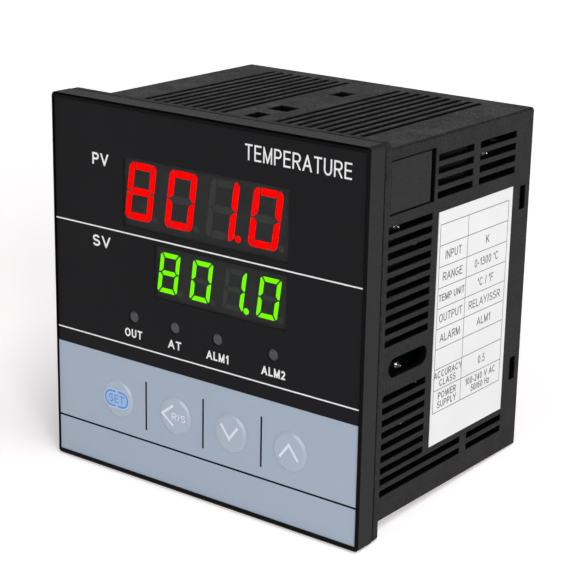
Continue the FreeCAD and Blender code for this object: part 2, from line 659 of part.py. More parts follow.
ABSORBER_R = 5.0
ABSORBER_THICK = 4.0
ABSORBER_STAND = 1.0
ABSORBER_LEG = 0.8
ABSORBER_LEG_SPREAD = 2.5  # each leg from the middle
SLEEVE_GROOVE = (1.6, 2.4)
SLEEVE_GROOVE_DEPTH = 0.3
CRYSTAL_HALF = (2.3, 5.5)  # across and along the board
CRYSTAL_HEIGHT = 3.5
CRYSTAL_END_R = 2.0
RELAY_HEIGHT = 15.3
FILTER_HEIGHT = 11.0
RECTIFIER_HEIGHT = 6.0
FUSE_R = 4.2
FUSE_HEIGHT = 8.0


def surge_absorber(y, z):
    """A disc that stands on its edge on two legs."""
    middle = ABSORBER_R + ABSORBER_STAND
    x = SIDE_BOARD_INNER - middle
    disc = Part.makeCylinder(ABSORBER_R, ABSORBER_THICK,
                             Vector(x, SIDE_BOARD_Y[0] + y, z - ABSORBER_THICK / 2),
                             Vector(0, 0, 1))
    legs = [on_board(1, both(y + s * ABSORBER_LEG_SPREAD, ABSORBER_LEG / 2),
                     both(z, ABSORBER_LEG / 2), (0, middle)) for s in SIDES]
    return disc.fuse(legs).removeSplitter()


def can_capacitor(side, y, z, radius, height):
    """An upright capacitor with a rolled groove near its foot."""
    can = can_on_board(side, y, z, radius, (0, height))
    groove = can_on_board(side, y, z, radius + OVERRUN, SLEEVE_GROOVE)
    groove = groove.cut(can_on_board(side, y, z, radius - SLEEVE_GROOVE_DEPTH, SLEEVE_GROOVE))
    return can.cut(groove)


def crystal(side, y):
    """A low metal can with rounded ends, at mid height."""
    can = on_board(side, both(y, CRYSTAL_HALF[0]), both(0, CRYSTAL_HALF[1]), (0, CRYSTAL_HEIGHT))
    upright = [e for e in can.Edges if abs(e.tangentAt(e.FirstParameter).x) > 1 - TINY]
    return can.makeFillet(CRYSTAL_END_R, upright)


# ---- rear terminals, built for the right side and mirrored ------------------------------------
def terminal_strip(z):
    """A metal strip in the floor of a bay, with a pin that turns into the side board."""
    x = (BLOCK_INNER + BAY_SIDE_WALL + STRIP_INSET, SIDE_BOARD_INNER - BAY_SIDE_WALL - STRIP_INSET)
    strip = box(x, (STRIP_FRONT, BAY_FLOOR), both(z, STRIP_HALF_WIDTH))
    tail_x = (x[1] - PIN_WIDTH, x[1])
    tail = box(tail_x, (STRIP_FRONT - PIN_DROP, STRIP_FRONT), both(z, PIN_HALF_HEIGHT))
    pin = box((tail_x[0], SIDE_BOARD_OUTER - PIN_SHORT), both(PIN_Y, PIN_WIDTH / 2),
              both(z, PIN_HALF_HEIGHT))
    hole = rod("y", STRIP_FRONT - OVERRUN, BAY_FLOOR + OVERRUN, TERMINAL_SCREW_X, z, STRIP_HOLE_R)
    return strip.fuse([tail, pin]).cut(hole).removeSplitter()


def terminal_clamp(z):
    half = CLAMP_SIZE / 2
    plate = box(both(TERMINAL_SCREW_X, half), (BAY_FLOOR, BAY_FLOOR + CLAMP_THICK), both(z, half))
    return plate.cut(rod("y", BAY_FLOOR - OVERRUN, BAY_FLOOR + 2 * OVERRUN, TERMINAL_SCREW_X, z,
                         CLAMP_HOLE_R))


def terminal_screw(z):
    seat = BAY_FLOOR + CLAMP_THICK
    top = seat + SCREW_HEAD
    shank = rod("y", seat - TERMINAL_SCREW_LENGTH, seat, TERMINAL_SCREW_X, z, TERMINAL_SCREW_R)
    head = rod("y", seat, top, TERMINAL_SCREW_X, z, SCREW_HEAD_R)
    head = head.makeFillet(SCREW_HEAD / 3, edges_at(head, top))
    return shank.fuse(head).cut(cross_recess(TERMINAL_SCREW_X, top, z))


def terminal_block(strips):
    block = box((BLOCK_INNER, SIDE_BOARD_INNER), (BLOCK_FRONT, BLOCK_REAR),
                (-BLOCK_HALF, BLOCK_HALF))
    bay_x = (BLOCK_INNER + BAY_SIDE_WALL, SIDE_BOARD_INNER - BAY_SIDE_WALL)
    well = BAY_FLOOR + CLAMP_THICK - TERMINAL_SCREW_LENGTH - LOOSE_GAP
    cuts = []
    for z in TERMINAL_Z:
        cuts.append(box(bay_x, (BAY_FLOOR, BLOCK_REAR + OVERRUN), both(z, BAY_WIDTH / 2)))
        cuts.append(rod("y", well, BAY_FLOOR, TERMINAL_SCREW_X, z, SCREW_WELL_R))
    return block.cut(cuts).cut(strips).removeSplitter()


# ---- rear cover and label ---------------------------------------------------------------------
def rear_cover():
    half = INNER_HALF - FIT_GAP
    rear = BODY_DEPTH - COVER_INSET
    cover = box((-half, half), (SKIRT_FRONT, rear), (-half, half))
    inner = half - COVER_SKIRT
    cover = cover.cut(box((-inner, inner), (SKIRT_FRONT - OVERRUN, rear - COVER_PLATE),
                          (-inner, inner)))
    nubs, cuts = [], []
    for side in SIDES:
        window_x = (side * (BLOCK_INNER - FIT_GAP), side * (SIDE_BOARD_INNER + FIT_GAP))
        cuts.append(box(window_x, (rear - COVER_PLATE - OVERRUN, rear + OVERRUN),
                        both(0, BLOCK_HALF + FIT_GAP)))
        for s in SIDES:
            nubs.append(snap_nub(side, s * SNAP_Z, half))
    return cover.fuse(nubs).cut(cuts).removeSplitter()


def snap_nub(side, z, root):
    """A wedge on the cover's skirt that springs into a window in the case wall."""
    front = BODY_DEPTH - SNAP_WINDOW_Y[0] + SNAP_GAP
    rear = BODY_DEPTH - SNAP_WINDOW_Y[1] - SNAP_GAP
    top = BODY_HALF - SNAP_SUNK
    half = SNAP_WINDOW_HEIGHT / 2 - SNAP_GAP
    profile = [(root - OVERRUN, front), (root, front), (top, (front + rear) / 2), (top, rear),
               (root - OVERRUN, rear)]
    ring = [Vector(side * x, y, z - half) for x, y in profile]
    return Part.Face(Part.makePolygon(ring + ring[:1])).extrude(Vector(0, 0, 2 * half))


def rating_label():
    rear = BODY_DEPTH - LABEL_REAR
    return box((BODY_HALF, BODY_HALF + LABEL_THICK), (rear - LABEL_WIDTH, rear),
               both(LABEL_Z, LABEL_HEIGHT / 2))


# ---- build everything -------------------------------------------------------------------------
def build_front():
    save("case_shell", case_shell())
    save("front_bezel", front_bezel())
    save("front_overlay", front_overlay())
    for name, x in KEYS.items():
        save(f"{name}_key", key_cap(x))
        save(f"{name}_plunger", key_plunger(x))
    save("key_switches", group([key_switch(x) for x in KEYS.values()]))
    for name, x in LAMPS.items():
        save(f"{name}_lamp", lamp(x))
    for name, x, z, width, height, depth, digit in (
            ("pv", PV_X, PV_Z, PV_WIDTH, PV_HEIGHT, DISPLAY_DEPTH, PV_DIGIT),
            ("sv", SV_X, SV_Z, SV_WIDTH, SV_HEIGHT, SV_BODY, SV_DIGIT)):
        segments = display_segments(x, z, digit)
        save(f"{name}_segments", group(segments))
        save(f"{name}_display_case", display_case(x, z, width, height, depth, segments))
    save("display_board", display_board())
    save("display_board_screws", group([board_screw(x, z) for x, z in BOSSES]))


def build_power_board():
    """The board along the right wall: supply, relays and the right-hand terminals. Places are
    y from the board's front edge, z, and how far off the board's inner face."""
    save("power_board", side_board(1))
    save("power_header", board_header(1))
    core, bobbin, winding = transformer()
    save("transformer_core", core)
    save("transformer_bobbin", bobbin)
    save("transformer_winding", winding)
    save("bulk_capacitor", can_capacitor(1, 32.5, 9.5, 7.5, 24.0))
    save("output_capacitors", group([can_capacitor(1, 8.2, -7.0, 5.0, 16.0),
                                     can_capacitor(1, 7.0, -18.5, 4.0, 12.0)]))
    save("output_relay", on_board(1, (22.5, 41.5), (-20.5, -5.2), (0, RELAY_HEIGHT)))
    save("alarm_relays", group([on_board(1, (22.5, 41.5), (-37.5, -22.2), (0, RELAY_HEIGHT)),
                                on_board(1, (2.0, 21.0), (-39.3, -24.0), (0, RELAY_HEIGHT))]))
    save("mains_fuse", can_on_board(1, 36.5, 32.5, FUSE_R, (0, FUSE_HEIGHT)))
    save("surge_absorber", surge_absorber(36.5, 23.0))
    save("line_filter_capacitor", on_board(1, (16.5, 29.5), (27.0, 33.0), (0, FILTER_HEIGHT)))
    save("rectifier", on_board(1, (3.0, 11.0), (28.5, 34.5), (0, RECTIFIER_HEIGHT)))
    save("isolator", chip(1, 14.4, -9.0, 4))
    # where each lead is soldered: y from the board's front edge, and z
    leads = [(51.0, 35.0), (45.0, 38.3), (12.5, 24.0), (11.0, 12.5), (9.5, 0.3), (12.3, -2.8),
             (10.5, -9.4), (15.5, -11.2), (4.5, -5.5), (4.5, -18.5), (9.5, -18.5), (5.0, 31.5),
             (9.0, 31.5), (18.0, 30.0), (28.0, 30.0), (34.0, 32.5), (39.0, 32.5), (34.0, 23.0),
             (39.0, 23.0), (29.5, 9.5), (35.5, 9.5), (5.0, 7.0), (5.0, 12.0), (5.0, 18.0),
             (20.0, 7.0), (20.0, 12.5), (20.0, 18.5), (24.5, -8.0), (24.5, -18.0), (39.0, -8.0),
             (39.0, -18.0), (31.0, -13.0), (24.5, -25.0), (24.5, -35.0), (39.0, -25.0),
             (39.0, -35.0), (31.0, -30.0), (4.0, -27.0), (4.0, -37.0), (18.5, -27.0),
             (18.5, -37.0), (11.0, -32.0)]
    save("power_board_solder", solder_joints(1, leads))


def build_input_board():
    """The board along the left wall: the controller's logic and the left-hand terminals."""
    save("input_board", side_board(-1))
    save("input_header", board_header(-1))
    save("controller_chip", chip(-1, 8.0, 0.0, 28))
    save("amplifier_chip", chip(-1, 30.0, 20.0, 8))
    save("crystal", crystal(-1, 24.3))
    save("input_capacitors", group([can_capacitor(-1, y, -18.0, 3.0, 9.0)
                                    for y in (23.0, 31.0, 39.0)]))
    leads = chip_leads(8.0, 0.0, 28) + chip_leads(30.0, 20.0, 8)
    leads += [(24.3, -3.0), (24.3, 3.0)]
    leads += [(y + s, -18.0) for y in (23.0, 31.0, 39.0) for s in (-1.25, 1.25)]
    save("input_board_solder", solder_joints(-1, leads))


def build_rear():
    strips = [terminal_strip(z) for z in TERMINAL_Z]
    block = terminal_block(strips)
    save("right_terminal_block", block)
    save("left_terminal_block", mirrored(block))
    for name, make in (("terminal_strips", terminal_strip), ("terminal_clamps", terminal_clamp),
                       ("terminal_screws", terminal_screw)):
        right = [make(z) for z in TERMINAL_Z]
        save(name, group(right + [mirrored(s) for s in right]))
    save("rear_cover", rear_cover())
    save("rating_label", rating_label())


os.makedirs("parts", exist_ok=True)
build_front()
build_power_board()
build_input_board()
build_rear()
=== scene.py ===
"""Looks of a panel-mount temperature controller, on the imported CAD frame.

Sizes below are millimetres in the row frame: X to the right of the front face, Y into the panel,
Z up. MM turns them into Blender's metres.
"""
import json
import math

import bmesh
import bpy
from mathutils import Matrix, Vector


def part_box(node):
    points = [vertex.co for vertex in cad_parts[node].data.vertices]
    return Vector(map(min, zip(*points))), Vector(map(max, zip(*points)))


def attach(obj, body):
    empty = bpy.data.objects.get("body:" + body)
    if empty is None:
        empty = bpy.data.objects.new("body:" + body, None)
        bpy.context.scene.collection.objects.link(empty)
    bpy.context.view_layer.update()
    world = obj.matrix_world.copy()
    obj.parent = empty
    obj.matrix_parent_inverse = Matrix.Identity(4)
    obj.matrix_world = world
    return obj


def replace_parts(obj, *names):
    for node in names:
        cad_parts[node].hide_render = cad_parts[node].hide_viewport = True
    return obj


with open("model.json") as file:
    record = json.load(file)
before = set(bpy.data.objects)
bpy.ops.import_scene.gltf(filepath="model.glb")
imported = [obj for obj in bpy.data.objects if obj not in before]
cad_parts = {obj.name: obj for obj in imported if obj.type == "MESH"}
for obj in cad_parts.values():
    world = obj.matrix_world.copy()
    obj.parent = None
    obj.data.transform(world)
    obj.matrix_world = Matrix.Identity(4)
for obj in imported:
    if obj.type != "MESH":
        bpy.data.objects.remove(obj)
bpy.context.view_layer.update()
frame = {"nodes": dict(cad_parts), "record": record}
nodes = frame["nodes"]
MM = 0.001
INK = 0.015  # thickness of printed ink


def box_mm(node):
    low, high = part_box(node)
    return [v / MM for v in low], [v / MM for v in high]


# ---- places taken from the frame --------------------------------------------------------------
film_low, film_high = box_mm("front_overlay")
bezel_low = box_mm("front_bezel")[0]
case_low, case_high = box_mm("case_shell")
FILM_FRONT, FILM_BACK = film_low[1], film_high[1]
FILM_X, FILM_Z = film_high[0], film_high[2]
label_low, label_high = box_mm("rating_label")
LABEL_FACE = label_high[0]
CASE_HALF = label_low[0]

# ---- the printed front ------------------------------------------------------------------------
PV_WINDOW = ((-24.4, 26.2), (17.8, 35.2))
SV_WINDOW = ((-14.3, 25.9), (1.4, 14.6))
LINE_Z = (16.0, -12.8)
LINE_WIDTH = 0.35
GREY_TOP = -16.7
GREY_LINE_Z = -37.1
GREY_LINE_WIDTH = 0.5
SEPARATOR_X = (-17.3, 1.2, 19.2)
SEPARATOR_Z = (-34.2, -21.3)
SEPARATOR_WIDTH = 0.5
LAMP_X = {"output": -21.3, "autotune": -8.0, "alarm_1": 5.4, "alarm_2": 22.2}
LAMP_Z = -5.2
LAMP_WINDOW_R = 1.6
LAMP_DOME = 0.5
KEY_X = {"set": -26.7, "shift": -7.7, "down": 9.8, "up": 27.8}
KEY_Z = -28.0
KEY_HOLE_R = 4.98
KEY_HOLE_SIDES = 96
KEY_DISC_R = 4.96
KEY_FLAT_R = 4.15
KEY_RISE = 0.28

# ---- displays: the same digits as the CAD segments --------------------------------------------
SLANT = math.tan(math.radians(7.5))
SEGMENT_DEPTH = 0.6
PV = {"x": -0.05, "z": 26.9, "pitch": 12.77, "width": 8.6, "height": 14.4, "stroke": 1.8,
      "gap": 0.36, "mitre": 0.3, "corner": 1.1, "dot": (4.7, -6.25, 0.85)}
SV = {"x": 5.07, "z": 8.1, "pitch": 10.2, "width": 6.2, "height": 10.2, "stroke": 1.2,
      "gap": 0.42, "mitre": 1.15, "corner": 0.7, "dot": (3.55, -4.55, 0.8)}
# Which segments shine: top, bottom, middle, lower left, upper left, lower right, upper right, dot.
LIT = {"8": (0, 1, 2, 3, 4, 5, 6), "0": (0, 1, 3, 4, 5, 6), "1.": (5, 6, 7)}
READING = ("8", "0", "1.", "0")


# ---- materials --------------------------------------------------------------------------------
def linear(rgb):
    """sRGB numbers from 0 to 255 as a linear colour."""
    return [(v / 255 / 12.92 if v <= 10 else ((v / 255 + 0.055) / 1.055) ** 2.4) for v in rgb]


class Finish:
    """A procedural material: a base colour with soft variation, and grain in its roughness and
    its surface."""

    def __init__(self, name, rgb, roughness, **shader):
        self.material = bpy.data.materials.new(name)
        self.material.use_nodes = True
        self.tree = self.material.node_tree
        self.shader = self.tree.nodes["Principled BSDF"]
        self.rgb = linear(rgb)
        self.shader.inputs["Base Color"].default_value = (*self.rgb, 1)
        self.shader.inputs["Roughness"].default_value = roughness
        for socket, value in shader.items():
            self.shader.inputs[socket.replace("_", " ")].default_value = value
        self.place = self.node("ShaderNodeTexCoord").outputs["Object"]

    def node(self, kind, **settings):
        made = self.tree.nodes.new(kind)
        for name, value in settings.items():
            setattr(made, name, value)
        return made

    def link(self, source, target):
        self.tree.links.new(source, target)

    def noise(self, size, detail=2.0, stretch=None):
        """Noise whose features are about this many millimetres across."""
        made = self.node("ShaderNodeTexNoise")
        made.inputs["Scale"].default_value = 1 / (size * MM)
        made.inputs["Detail"].default_value = detail
        place = self.place
        if stretch:
            mapping = self.node("ShaderNodeMapping")
            mapping.inputs["Scale"].default_value = stretch
            self.link(place, mapping.inputs["Vector"])
            place = mapping.outputs["Vector"]
        self.link(place, made.inputs["Vector"])
        return made.outputs["Fac"]

    def spread(self, source, low, high, cut=(0.3, 0.7)):
        """A noise turned into numbers between low and high."""
        made = self.node("ShaderNodeMapRange")
        made.inputs["From Min"].default_value, made.inputs["From Max"].default_value = cut
        made.inputs["To Min"].default_value, made.inputs["To Max"].default_value = low, high
        self.link(source, made.inputs["Value"])
        return made.outputs["Result"]

    def axis(self, name):
        """How far a point is along an axis of the object."""
        split = self.node("ShaderNodeSeparateXYZ")
        self.link(self.place, split.inputs["Vector"])
        return split.outputs[name]

    def larger(self, a, b):
        """The larger of two numbers."""
        made = self.node("ShaderNodeMath", operation="MAXIMUM")
        self.link(a, made.inputs[0])
        self.link(b, made.inputs[1])
        return made.outputs["Value"]

    def only_where(self, share, rgb):
        """Keeps the base colour where share is 1, and has another where it is 0."""
        colour = self.shader.inputs["Base Color"]
        kept = colour.links[0].from_socket
        mix = self.node("ShaderNodeMix", data_type="RGBA")
        self.link(share, mix.inputs["Factor"])
        mixed = {s.name: s for s in mix.inputs if s.type == "RGBA"}
        mixed["A"].default_value = (*linear(rgb), 1)
        self.link(kept, mixed["B"])
        self.link(next(s for s in mix.outputs if s.type == "RGBA"), colour)

    def tint(self, size, amount):
        """The base colour drifts lighter and darker by this share."""
        ramp = self.node("ShaderNodeValToRGB")
        for end, share in zip(ramp.color_ramp.elements, (1 - amount, 1 + amount)):
            end.color = (*[min(v * share, 1) for v in self.rgb], 1)
        ramp.color_ramp.elements[0].position = 0.3
        ramp.color_ramp.elements[1].position = 0.7
        self.link(self.noise(size), ramp.inputs["Fac"])
        self.link(ramp.outputs["Color"], self.shader.inputs["Base Color"])
        return self

    def wear(self, size, low, high):
        """The roughness drifts between these values."""
        self.link(self.spread(self.noise(size), low, high), self.shader.inputs["Roughness"])
        return self

    def grain(self, size, depth, strength=1.0, stretch=None):
        """Surface grain of this size and depth in millimetres."""
        bump = self.node("ShaderNodeBump")
        bump.inputs["Distance"].default_value = depth * MM
        bump.inputs["Strength"].default_value = strength
        self.link(self.noise(size, 3.0, stretch), bump.inputs["Height"])
        self.link(bump.outputs["Normal"], self.shader.inputs["Normal"])
        return self


def finish(name, rgb, roughness, tint=(8, 0.06), wear=None, grain=None, **shader):
    made = Finish(name, rgb, roughness, **shader)
    made.tint(*tint)
    if wear:
        made.wear(*wear)
    if grain:
        made.grain(*grain)
    return made.material


def glowing(name, rgb, strength):
    """A lit display segment: dark resin that shines, evenly but for a faint drift."""
    made = Finish(name, (12, 4, 3), 0.5, Emission_Strength=strength, Specular_IOR_Level=0.02)
    made.shader.inputs["Emission Color"].default_value = (*linear(rgb), 1)
    made.tint(3, 0.2)
    return made.material


# Each fade is a pair of distances in millimetres from a face of the piece.
RIM_FADE = (0.55, 0.75)
RIM_ROUGHNESS, SIDE_ROUGHNESS = 0.12, 0.45
# Size and share of the painted glint specks on the top face.
GLINT_SPECK_SIZE = 0.8
GLINT_SPECK_SHARE = (0.52, 0.68)
TOP_FADE_IN, TOP_FADE_OUT = (0.2, 0.05), (0.1, 0.3)
# The painted shade inside the case fades in over these distances from the rear edge and from the
# walls.
REAR_FADE = (2.0, 1.0)
WALL_FADE = (0.35, 0.1)


def bezel_finish():
    """Fine matte grain on the sides, and a polished rim in front whose near-black colour is
    painted shade.
    """
    made = Finish("bezel_plastic", (40, 40, 41), 0.4, Specular_IOR_Level=0.06)
    made.tint(0.5, 0.2)
    across = made.axis("Y")
    rim = [(bezel_low[1] + reach) * MM for reach in RIM_FADE]
    made.link(made.spread(across, RIM_ROUGHNESS, SIDE_ROUGHNESS, rim),
              made.shader.inputs["Roughness"])
    # Painted shade: the polished front rim gets a near-black colour, while the sides keep the
    # plastic's grey.
    made.only_where(made.spread(across, 0, 1, rim), (3, 3, 4))
    made.grain(0.35, 0.02, 0.5)
    return made.material


def case_finish():
    """Grained plastic outside, with painted glints: light specks coloured on the top face only.
    The walls' inner faces and the sides of the slots have painted shade, a near-black colour."""
    made = Finish("case_plastic", (41, 40, 41), 0.5, Specular_IOR_Level=0.05)
    made.tint(0.45, 0.45).wear(6, 0.44, 0.58).grain(0.4, 0.09, 1.0)
    up = made.axis("Z")
    below_top = made.spread(up, 1, 0, [(CASE_HALF - d) * MM for d in TOP_FADE_IN])
    above_top = made.spread(up, 0, 1, [(CASE_HALF + d) * MM for d in TOP_FADE_OUT])
    between_glint_specks = made.spread(made.noise(GLINT_SPECK_SIZE, 4.0), 1, 0, GLINT_SPECK_SHARE)
    plain = made.larger(made.larger(below_top, above_top), between_glint_specks)
    # Painted glints: lighter specks of colour on the top face only.
    made.only_where(plain, (78, 77, 77))
    outside = made.spread(made.axis("Y"), 0, 1, [(case_high[1] - d) * MM for d in REAR_FADE])
    for name in ("X", "Z"):
        size = made.node("ShaderNodeMath", operation="ABSOLUTE")
        made.link(made.axis(name), size.inputs[0])
        outside = made.larger(outside, made.spread(size.outputs["Value"], 0, 1,
                                                   [(CASE_HALF - d) * MM for d in WALL_FADE]))
    # Painted shade: near black everywhere inside the case, away from its outer faces.
    made.only_where(outside, (7, 7, 7))
    return made.material


MATERIALS = {
    "case_plastic": case_finish(),
    "bezel_plastic": bezel_finish(),
    "film_black": finish("film_black", (22, 22, 24), 0.5, tint=(16, 0.05),
                         wear=(9, 0.46, 0.56), grain=(0.14, 0.006, 0.6),
                         Specular_IOR_Level=0.06),
    "film_grey": finish("film_grey", (157, 169, 185), 0.45, tint=(18, 0.012),
                        wear=(9, 0.42, 0.52), grain=(0.14, 0.006, 0.6),
                        Specular_IOR_Level=0.2),
    "film_window": finish("film_window", (4, 4, 4), 0.45, tint=(16, 0.05), Alpha=0.35,
                          Specular_IOR_Level=0.02),
    "key_film": finish("key_film", (154, 167, 183), 0.2, tint=(18, 0.012),
                       Specular_IOR_Level=0.85),
    "key_ink": finish("key_ink", (212, 214, 226), 0.5, tint=(0.5, 0.05)),
    "film_lamp": finish("film_lamp", (60, 60, 62), 0.3, tint=(1.6, 0.08),
                        Specular_IOR_Level=0.3),
    "white_ink": finish("white_ink", (226, 226, 226), 0.55, tint=(0.5, 0.05)),
    "grey_line_ink": finish("grey_line_ink", (3, 5, 10), 0.55, tint=(0.6, 0.05),
                            Specular_IOR_Level=0.05),
    "separator_ink": finish("separator_ink", (2, 3, 6), 0.55, tint=(0.6, 0.05),
                            Specular_IOR_Level=0.05),
    "blue_ink": finish("blue_ink", (84, 124, 184), 0.5, tint=(0.6, 0.04)),
    "blue_glow_ink": finish("blue_glow_ink", (146, 180, 220), 0.45, tint=(1.2, 0.03)),
    "blue_haze_ink": finish("blue_haze_ink", (160, 184, 214), 0.4, tint=(1.2, 0.02)),
    "label_film": finish("label_film", (236, 236, 237), 0.42, tint=(12, 0.015),
                         grain=(0.5, 0.004, 0.5)),
    "label_ink": finish("label_ink", (34, 34, 36), 0.5, tint=(0.4, 0.12)),
    "terminal_plastic": finish("terminal_plastic", (30, 30, 31), 0.48, grain=(0.3, 0.02, 0.6)),
    "terminal_metal": finish("terminal_metal", (214, 208, 190), 0.3, Metallic=1.0,
                             wear=(1.5, 0.22, 0.4), grain=(0.3, 0.01, 0.5)),
    "screw_metal": finish("screw_metal", (206, 208, 212), 0.3, Metallic=1.0,
                          wear=(1.2, 0.22, 0.42), grain=(0.2, 0.01, 0.5)),
    "board_laminate": finish("board_laminate", (6, 13, 10), 0.4, tint=(2.5, 0.15),
                             grain=(0.5, 0.01, 0.5), Specular_IOR_Level=0.1),
    "solder": finish("solder", (226, 228, 230), 0.2, Metallic=0.8,
                     wear=(0.8, 0.14, 0.3), grain=(0.5, 0.04, 0.6)),
    "display_body": finish("display_body", (92, 94, 94), 0.6, grain=(0.3, 0.01, 0.5)),
    "segment_off": finish("segment_off", (118, 120, 118), 0.5, tint=(1.5, 0.05)),
    "red_lit": glowing("red_lit", (255, 0, 0), 2.6),
    "green_lit": glowing("green_lit", (120, 255, 0), 2.5),
    "lamp_epoxy": finish("lamp_epoxy", (196, 190, 184), 0.25, tint=(1.0, 0.08)),
    "switch_plastic": finish("switch_plastic", (28, 28, 28), 0.45, grain=(0.2, 0.01, 0.5)),
    "component_black": finish("component_black", (30, 30, 31), 0.5, grain=(0.15, 0.01, 0.6)),
    "relay_plastic": finish("relay_plastic", (24, 52, 96), 0.35, grain=(0.4, 0.01, 0.4)),
    "capacitor_sleeve": finish("capacitor_sleeve", (26, 30, 44), 0.3, grain=(0.6, 0.01, 0.4)),
    "filter_plastic": finish("filter_plastic", (214, 176, 40), 0.4, grain=(0.4, 0.01, 0.4)),
    "absorber_epoxy": finish("absorber_epoxy", (36, 82, 150), 0.35, grain=(0.6, 0.02, 0.5)),
    "ferrite": finish("ferrite", (56, 54, 54), 0.55, grain=(0.2, 0.02, 0.7)),
    "bobbin_plastic": finish("bobbin_plastic", (34, 32, 30), 0.5, grain=(0.3, 0.01, 0.5)),
    "winding_tape": finish("winding_tape", (216, 170, 46), 0.35,
                           grain=(0.5, 0.03, 0.6, (0.2, 0.2, 4.0))),
    "crystal_metal": finish("crystal_metal", (200, 202, 204), 0.25, Metallic=1.0,
                            wear=(1.5, 0.18, 0.34), grain=(0.3, 0.008, 0.5)),
}
for item in frame["record"]["subparts"]:
    if item["material_slot"] in MATERIALS:
        nodes[item["node"]].data.materials.clear()
        nodes[item["node"]].data.materials.append(MATERIALS[item["material_slot"]])

# ---- flat printed pieces ----------------------------------------------------------------------
# A flat piece is drawn in its own plane: u to the right, v up and w towards the reader.
FRONT = Matrix(((1, 0, 0), (0, 0, -1), (0, 1, 0))).to_4x4()
RIGHT = Matrix(((0, 0, 1), (1, 0, 0), (0, 1, 0))).to_4x4()


def show(name, mesh, material, body="housing"):
    piece = bpy.data.objects.new(name, mesh)
    bpy.context.scene.collection.objects.link(piece)
    mesh.materials.clear()
    mesh.materials.append(MATERIALS[material])
    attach(piece, body)
    return piece


def mesh_of(name, curve):
    """The mesh of a curve or a text."""
    maker = bpy.data.objects.new(name + "_maker", curve)
    bpy.context.scene.collection.objects.link(maker)
    graph = bpy.context.evaluated_depsgraph_get()
    mesh = bpy.data.meshes.new_from_object(maker.evaluated_get(graph))
    bpy.data.objects.remove(maker)
    bpy.data.curves.remove(curve)
    mesh.name = name
    return mesh


def slab(name, outlines, plane, low, high):
    """Outlines of (u, v) points filled as one plate from w = low to high. An outline inside
    another is a hole."""
    curve = bpy.data.curves.new(name, "CURVE")
    curve.dimensions, curve.fill_mode = "2D", "BOTH"
    curve.extrude = (high - low) / 2 * MM
    for outline in outlines:
        spline = curve.splines.new("POLY")
        spline.points.add(len(outline) - 1)
        for point, (u, v) in zip(spline.points, outline):
            point.co = (u * MM, v * MM, 0, 1)
        spline.use_cyclic_u = True
    mesh = mesh_of(name, curve)
    mesh.transform(plane @ Matrix.Translation((0, 0, (high + low) / 2 * MM)))
    return mesh


def trim(outline, nu, nv, reach):
    """The part of a convex outline where nu * u + nv * v is no more than reach."""
    kept = []
    for (u0, v0), (u1, v1) in zip(outline, outline[1:] + outline[:1]):
        d0, d1 = nu * u0 + nv * v0 - reach, nu * u1 + nv * v1 - reach
        if d0 <= 0:
            kept.append((u0, v0))
        if d0 * d1 < 0:
            share = d0 / (d0 - d1)
            kept.append((u0 + share * (u1 - u0), v0 + share * (v1 - v0)))
    return kept


def plate(name, outlines, plane, low, high, material, body="housing"):
    return show(name, slab(name, outlines, plane, low, high), material, body)


def rectangle(u, v):
    return [(u[0], v[0]), (u[1], v[0]), (u[1], v[1]), (u[0], v[1])]


def band(middle, width):
    return middle - width / 2, middle + width / 2


def circle(u, v, radius, count=48):
    turns = [2 * math.pi * i / count for i in range(count)]
    return [(u + radius * math.cos(a), v + radius * math.sin(a)) for a in turns]


def chevron(left, tip, right, width):
    """A stroke of even width along three points, as one outline."""
    def normal(a, b):
        length = math.hypot(b[0] - a[0], b[1] - a[1])
        return -(b[1] - a[1]) / length, (b[0] - a[0]) / length

    n0, n1 = normal(left, tip), normal(tip, right)
    joint = (n0[0] + n1[0], n0[1] + n1[1])
    size = joint[0] ** 2 + joint[1] ** 2
    joint = (2 * joint[0] / size, 2 * joint[1] / size)
    one_side = [(p[0] + n[0] * width / 2, p[1] + n[1] * width / 2)
                for p, n in ((left, n0), (tip, joint), (right, n1))]
    other = [(p[0] - n[0] * width / 2, p[1] - n[1] * width / 2)
             for p, n in ((right, n1), (tip, joint), (left, n0))]
    return one_side + other


# ---- lettering --------------------------------------------------------------------------------
# A plain sans serif drawn with strokes of even width. Each sign has its width for a capital one
# unit high (None where it is one stroke wide) and its strokes. A stroke lists (u, v) points, from
# 0 to 1 across the sign and up it, and how far each end runs on, in stroke widths.
def arc(u, v, ru, rv, start, end, steps=14):
    """Points on an ellipse about (u, v), from one angle to another in degrees."""
    turns = [math.radians(start + (end - start) * i / steps) for i in range(steps + 1)]
    return [(u + ru * math.cos(a), v + rv * math.sin(a)) for a in turns]


def ring(u, v, ru, rv):
    return arc(u, v, ru, rv, 90, 450, 28)


